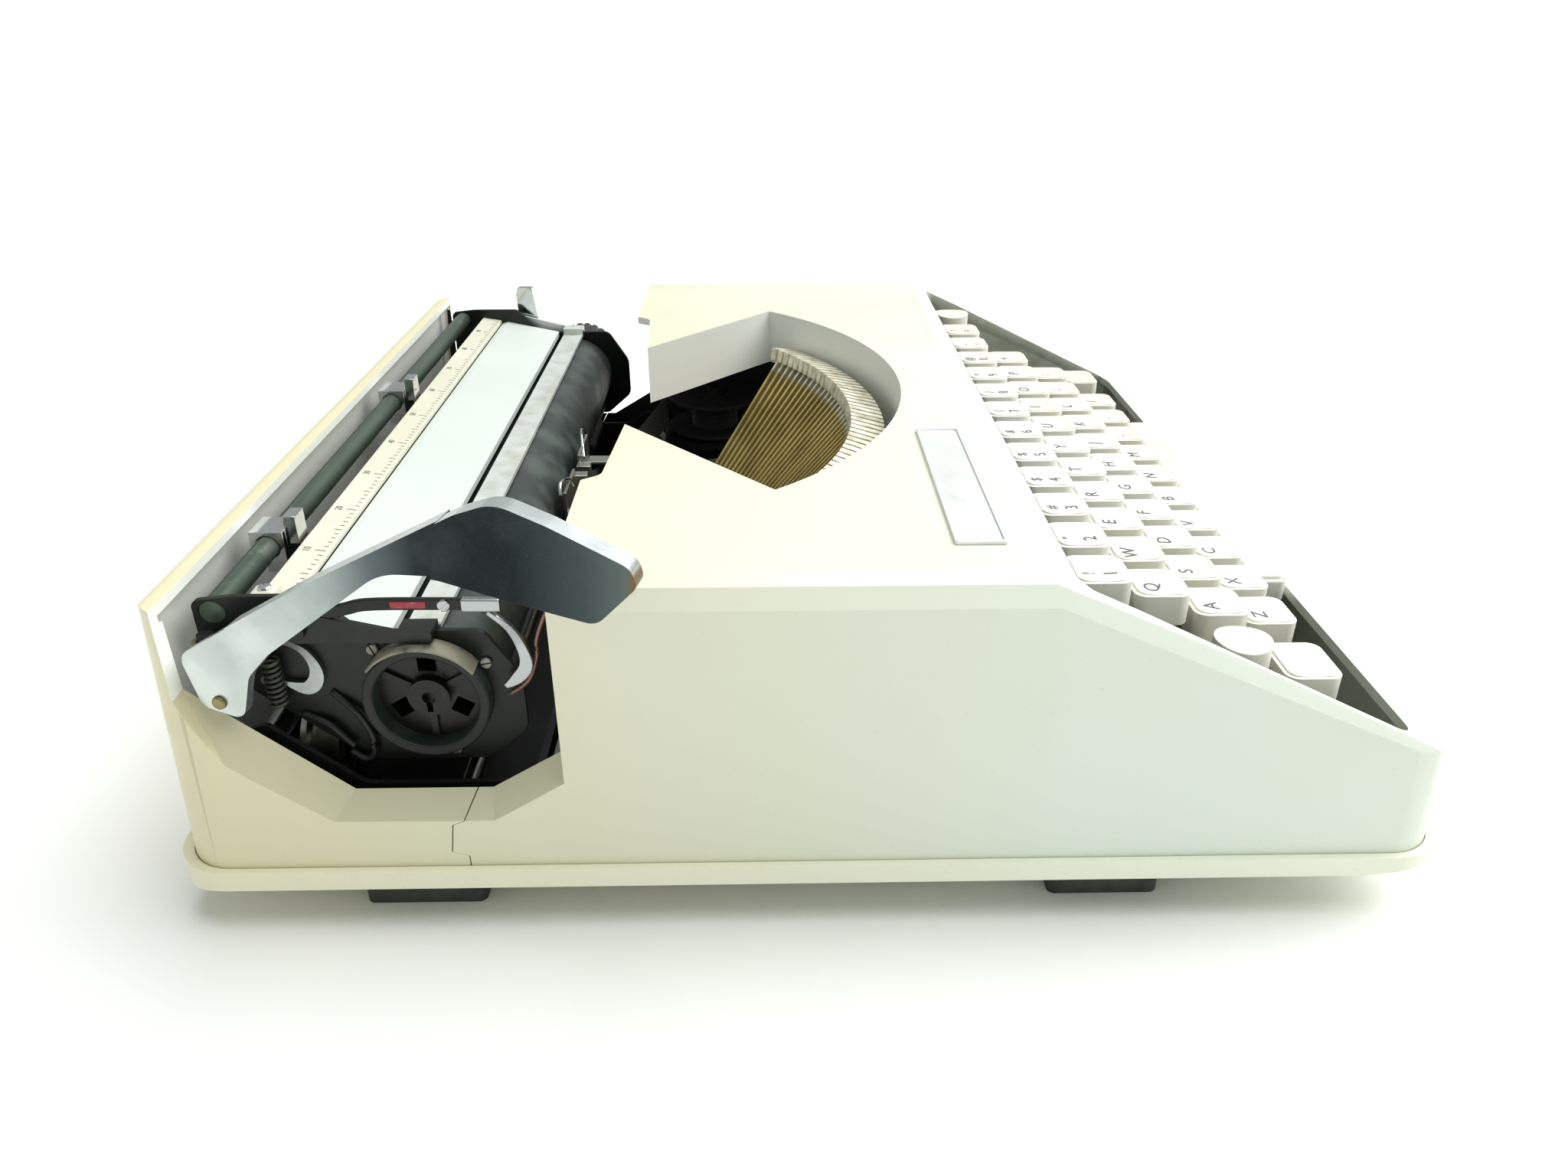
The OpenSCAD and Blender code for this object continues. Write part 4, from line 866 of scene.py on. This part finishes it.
# end of the margin scale, and the screws in sight
block("scale_holder", (END + 2, 125, 80.4), (END + 7.5, 131, 83.6), MAT["scale_plastic"],
      "margin_scale", 1.0)
screws("holder_screw", [(END + 4.8, 128, 83.5)], 1.5, (0, 0, 1), MAT["bright_chrome"], "margin_scale", 0.8)
screws("end_screws", [(END, 104, 70), (END, 78, 66), (END, 88, 41.6), (END, 130, 62)], 1.5, (-1, 0, 0),
       MAT["lever_steel"], "end_plate_left")
screws("frame_screws", [(-15, 123, 18), (15, 123, 18)], 1.8, (0, 1, 0), MAT["plated_steel"], "rear_brackets")

# dark sheet between the margin rail and the scale: painted shade in the gap
block("rail_shade_sheet", (END + 4, 130.8, 69), (129, 136.6, 69.8), MAT["painted_shade_black"], "margin_rail", 0.2)

# card holder beside the printing point
finger = [(12, 73.4, 63.6), (16, 74.2, 67.5), (24, 75.4, 69.4), (27, 75.2, 66.4)]
for side, label in ((-1, "left"), (1, "right")):
    route = [(side * x, y, z) for x, y, z in finger]
    wire(f"card_finger_{label}", route, 0.55, MAT["bright_chrome"], "type_guide")

# ribbon wound on the spools, between flanges whose inner faces lie FLANGE inside the spool's box
FLANGE, WINDINGS, WINDING_SWELL = 1.05, 12, 0.12


def winding_into(bm, node, radius):
    """Ribbon between the flanges of the spool, every other winding a little wider."""
    lo, hi = box_mm(node)
    low, high = lo.z + FLANGE, hi.z - FLANGE
    for k in range(WINDINGS):
        z0, z1 = (low + (high - low) * n / WINDINGS for n in (k, k + 1))
        wide = radius + (WINDING_SWELL if k % 2 else 0.0)
        middle = Matrix.Translation(((lo.x + hi.x) / 2, (lo.y + hi.y) / 2, (z0 + z1) / 2))
        bmesh.ops.create_cone(bm, cap_ends=True, segments=64, radius1=wide, radius2=wide, depth=z1 - z0,
                              matrix=middle)


for node, radius in (("spool_left", 14.3), ("spool_right", 9.3)):
    winding = mesh_of("wound", lambda bm: winding_into(bm, node, radius))
    place(f"wound_{node}", winding, MAT["ribbon_fabric"], node)

# ---------------------------------------------------------------- stage

# the camera's place in metres, its tilt and turn, and its lens in millimetres
CAMERA_AT = (-0.3563, 0.0125, 0.2085)
CAMERA_DOWN, CAMERA_TURN = math.radians(28.0), math.radians(-1.15)
CAMERA_LENS, CAMERA_SENSOR = 26.37, 36.0


def camera():
    """The view from close to the left side, tilted down and turned a hair towards the front."""
    data = bpy.data.cameras.new("camera")
    data.sensor_width = CAMERA_SENSOR
    data.lens = CAMERA_LENS
    data.clip_start = 0.005
    cam = bpy.data.objects.new("camera", data)
    bpy.context.scene.collection.objects.link(cam)
    ahead = math.cos(CAMERA_DOWN)
    look = Vector((ahead * math.cos(CAMERA_TURN), ahead * math.sin(CAMERA_TURN), -math.sin(CAMERA_DOWN)))
    cam.location = CAMERA_AT
    cam.rotation_euler = look.to_track_quat("-Z", "Y").to_euler()
    bpy.context.scene.camera = cam


def area_light(name, at, target, size, watts, color):
    """Rectangular lamp that shines at the target."""
    data = bpy.data.lights.new(name, "AREA")
    data.shape = "RECTANGLE"
    data.size, data.size_y = size
    data.energy = watts
    data.color = color
    lamp = bpy.data.objects.new(name, data)
    bpy.context.scene.collection.objects.link(lamp)
    lamp.location = at
    lamp.rotation_euler = (Vector(target) - Vector(at)).to_track_quat("-Z", "Y").to_euler()


def floor(half=30.0):
    """Square floor that reaches half metres each way."""
    mesh = bpy.data.meshes.new("floor")
    corners = [(-half, -half, 0), (half, -half, 0), (half, half, 0), (-half, half, 0)]
    mesh.from_pydata(corners, [], [(0, 1, 2, 3)])
    obj = bpy.data.objects.new("floor", mesh)
    bpy.context.scene.collection.objects.link(obj)
    mesh.materials.append(painted_floor("floor_paint"))


def studio():
    """Even daylight from a pale world, one wide overhead lamp and a weak lamp from the front."""
    world = bpy.data.worlds.new("studio")
    world.use_nodes = True
    background = world.node_tree.nodes["Background"].inputs
    background["Color"].default_value = (0.94, 1.0, 0.97, 1.0)
    background["Strength"].default_value = 0.42
    bpy.context.scene.world = world
    bpy.context.scene.view_settings.view_transform = "Standard"
    sky = bpy.data.lights.new("sky", "SUN")
    sky.energy = 3.3
    sky.angle = math.radians(70)
    sun = bpy.data.objects.new("sky", sky)
    bpy.context.scene.collection.objects.link(sun)
    sun.rotation_euler = Vector((-0.25, 0.5, -1.0)).to_track_quat("-Z", "Y").to_euler()
    area_light("window", (0.5, -1.3, 1.2), (0, -0.05, 0.05), (1.6, 1.2), 8, (1.0, 0.99, 0.96))
    floor()


camera()
studio()
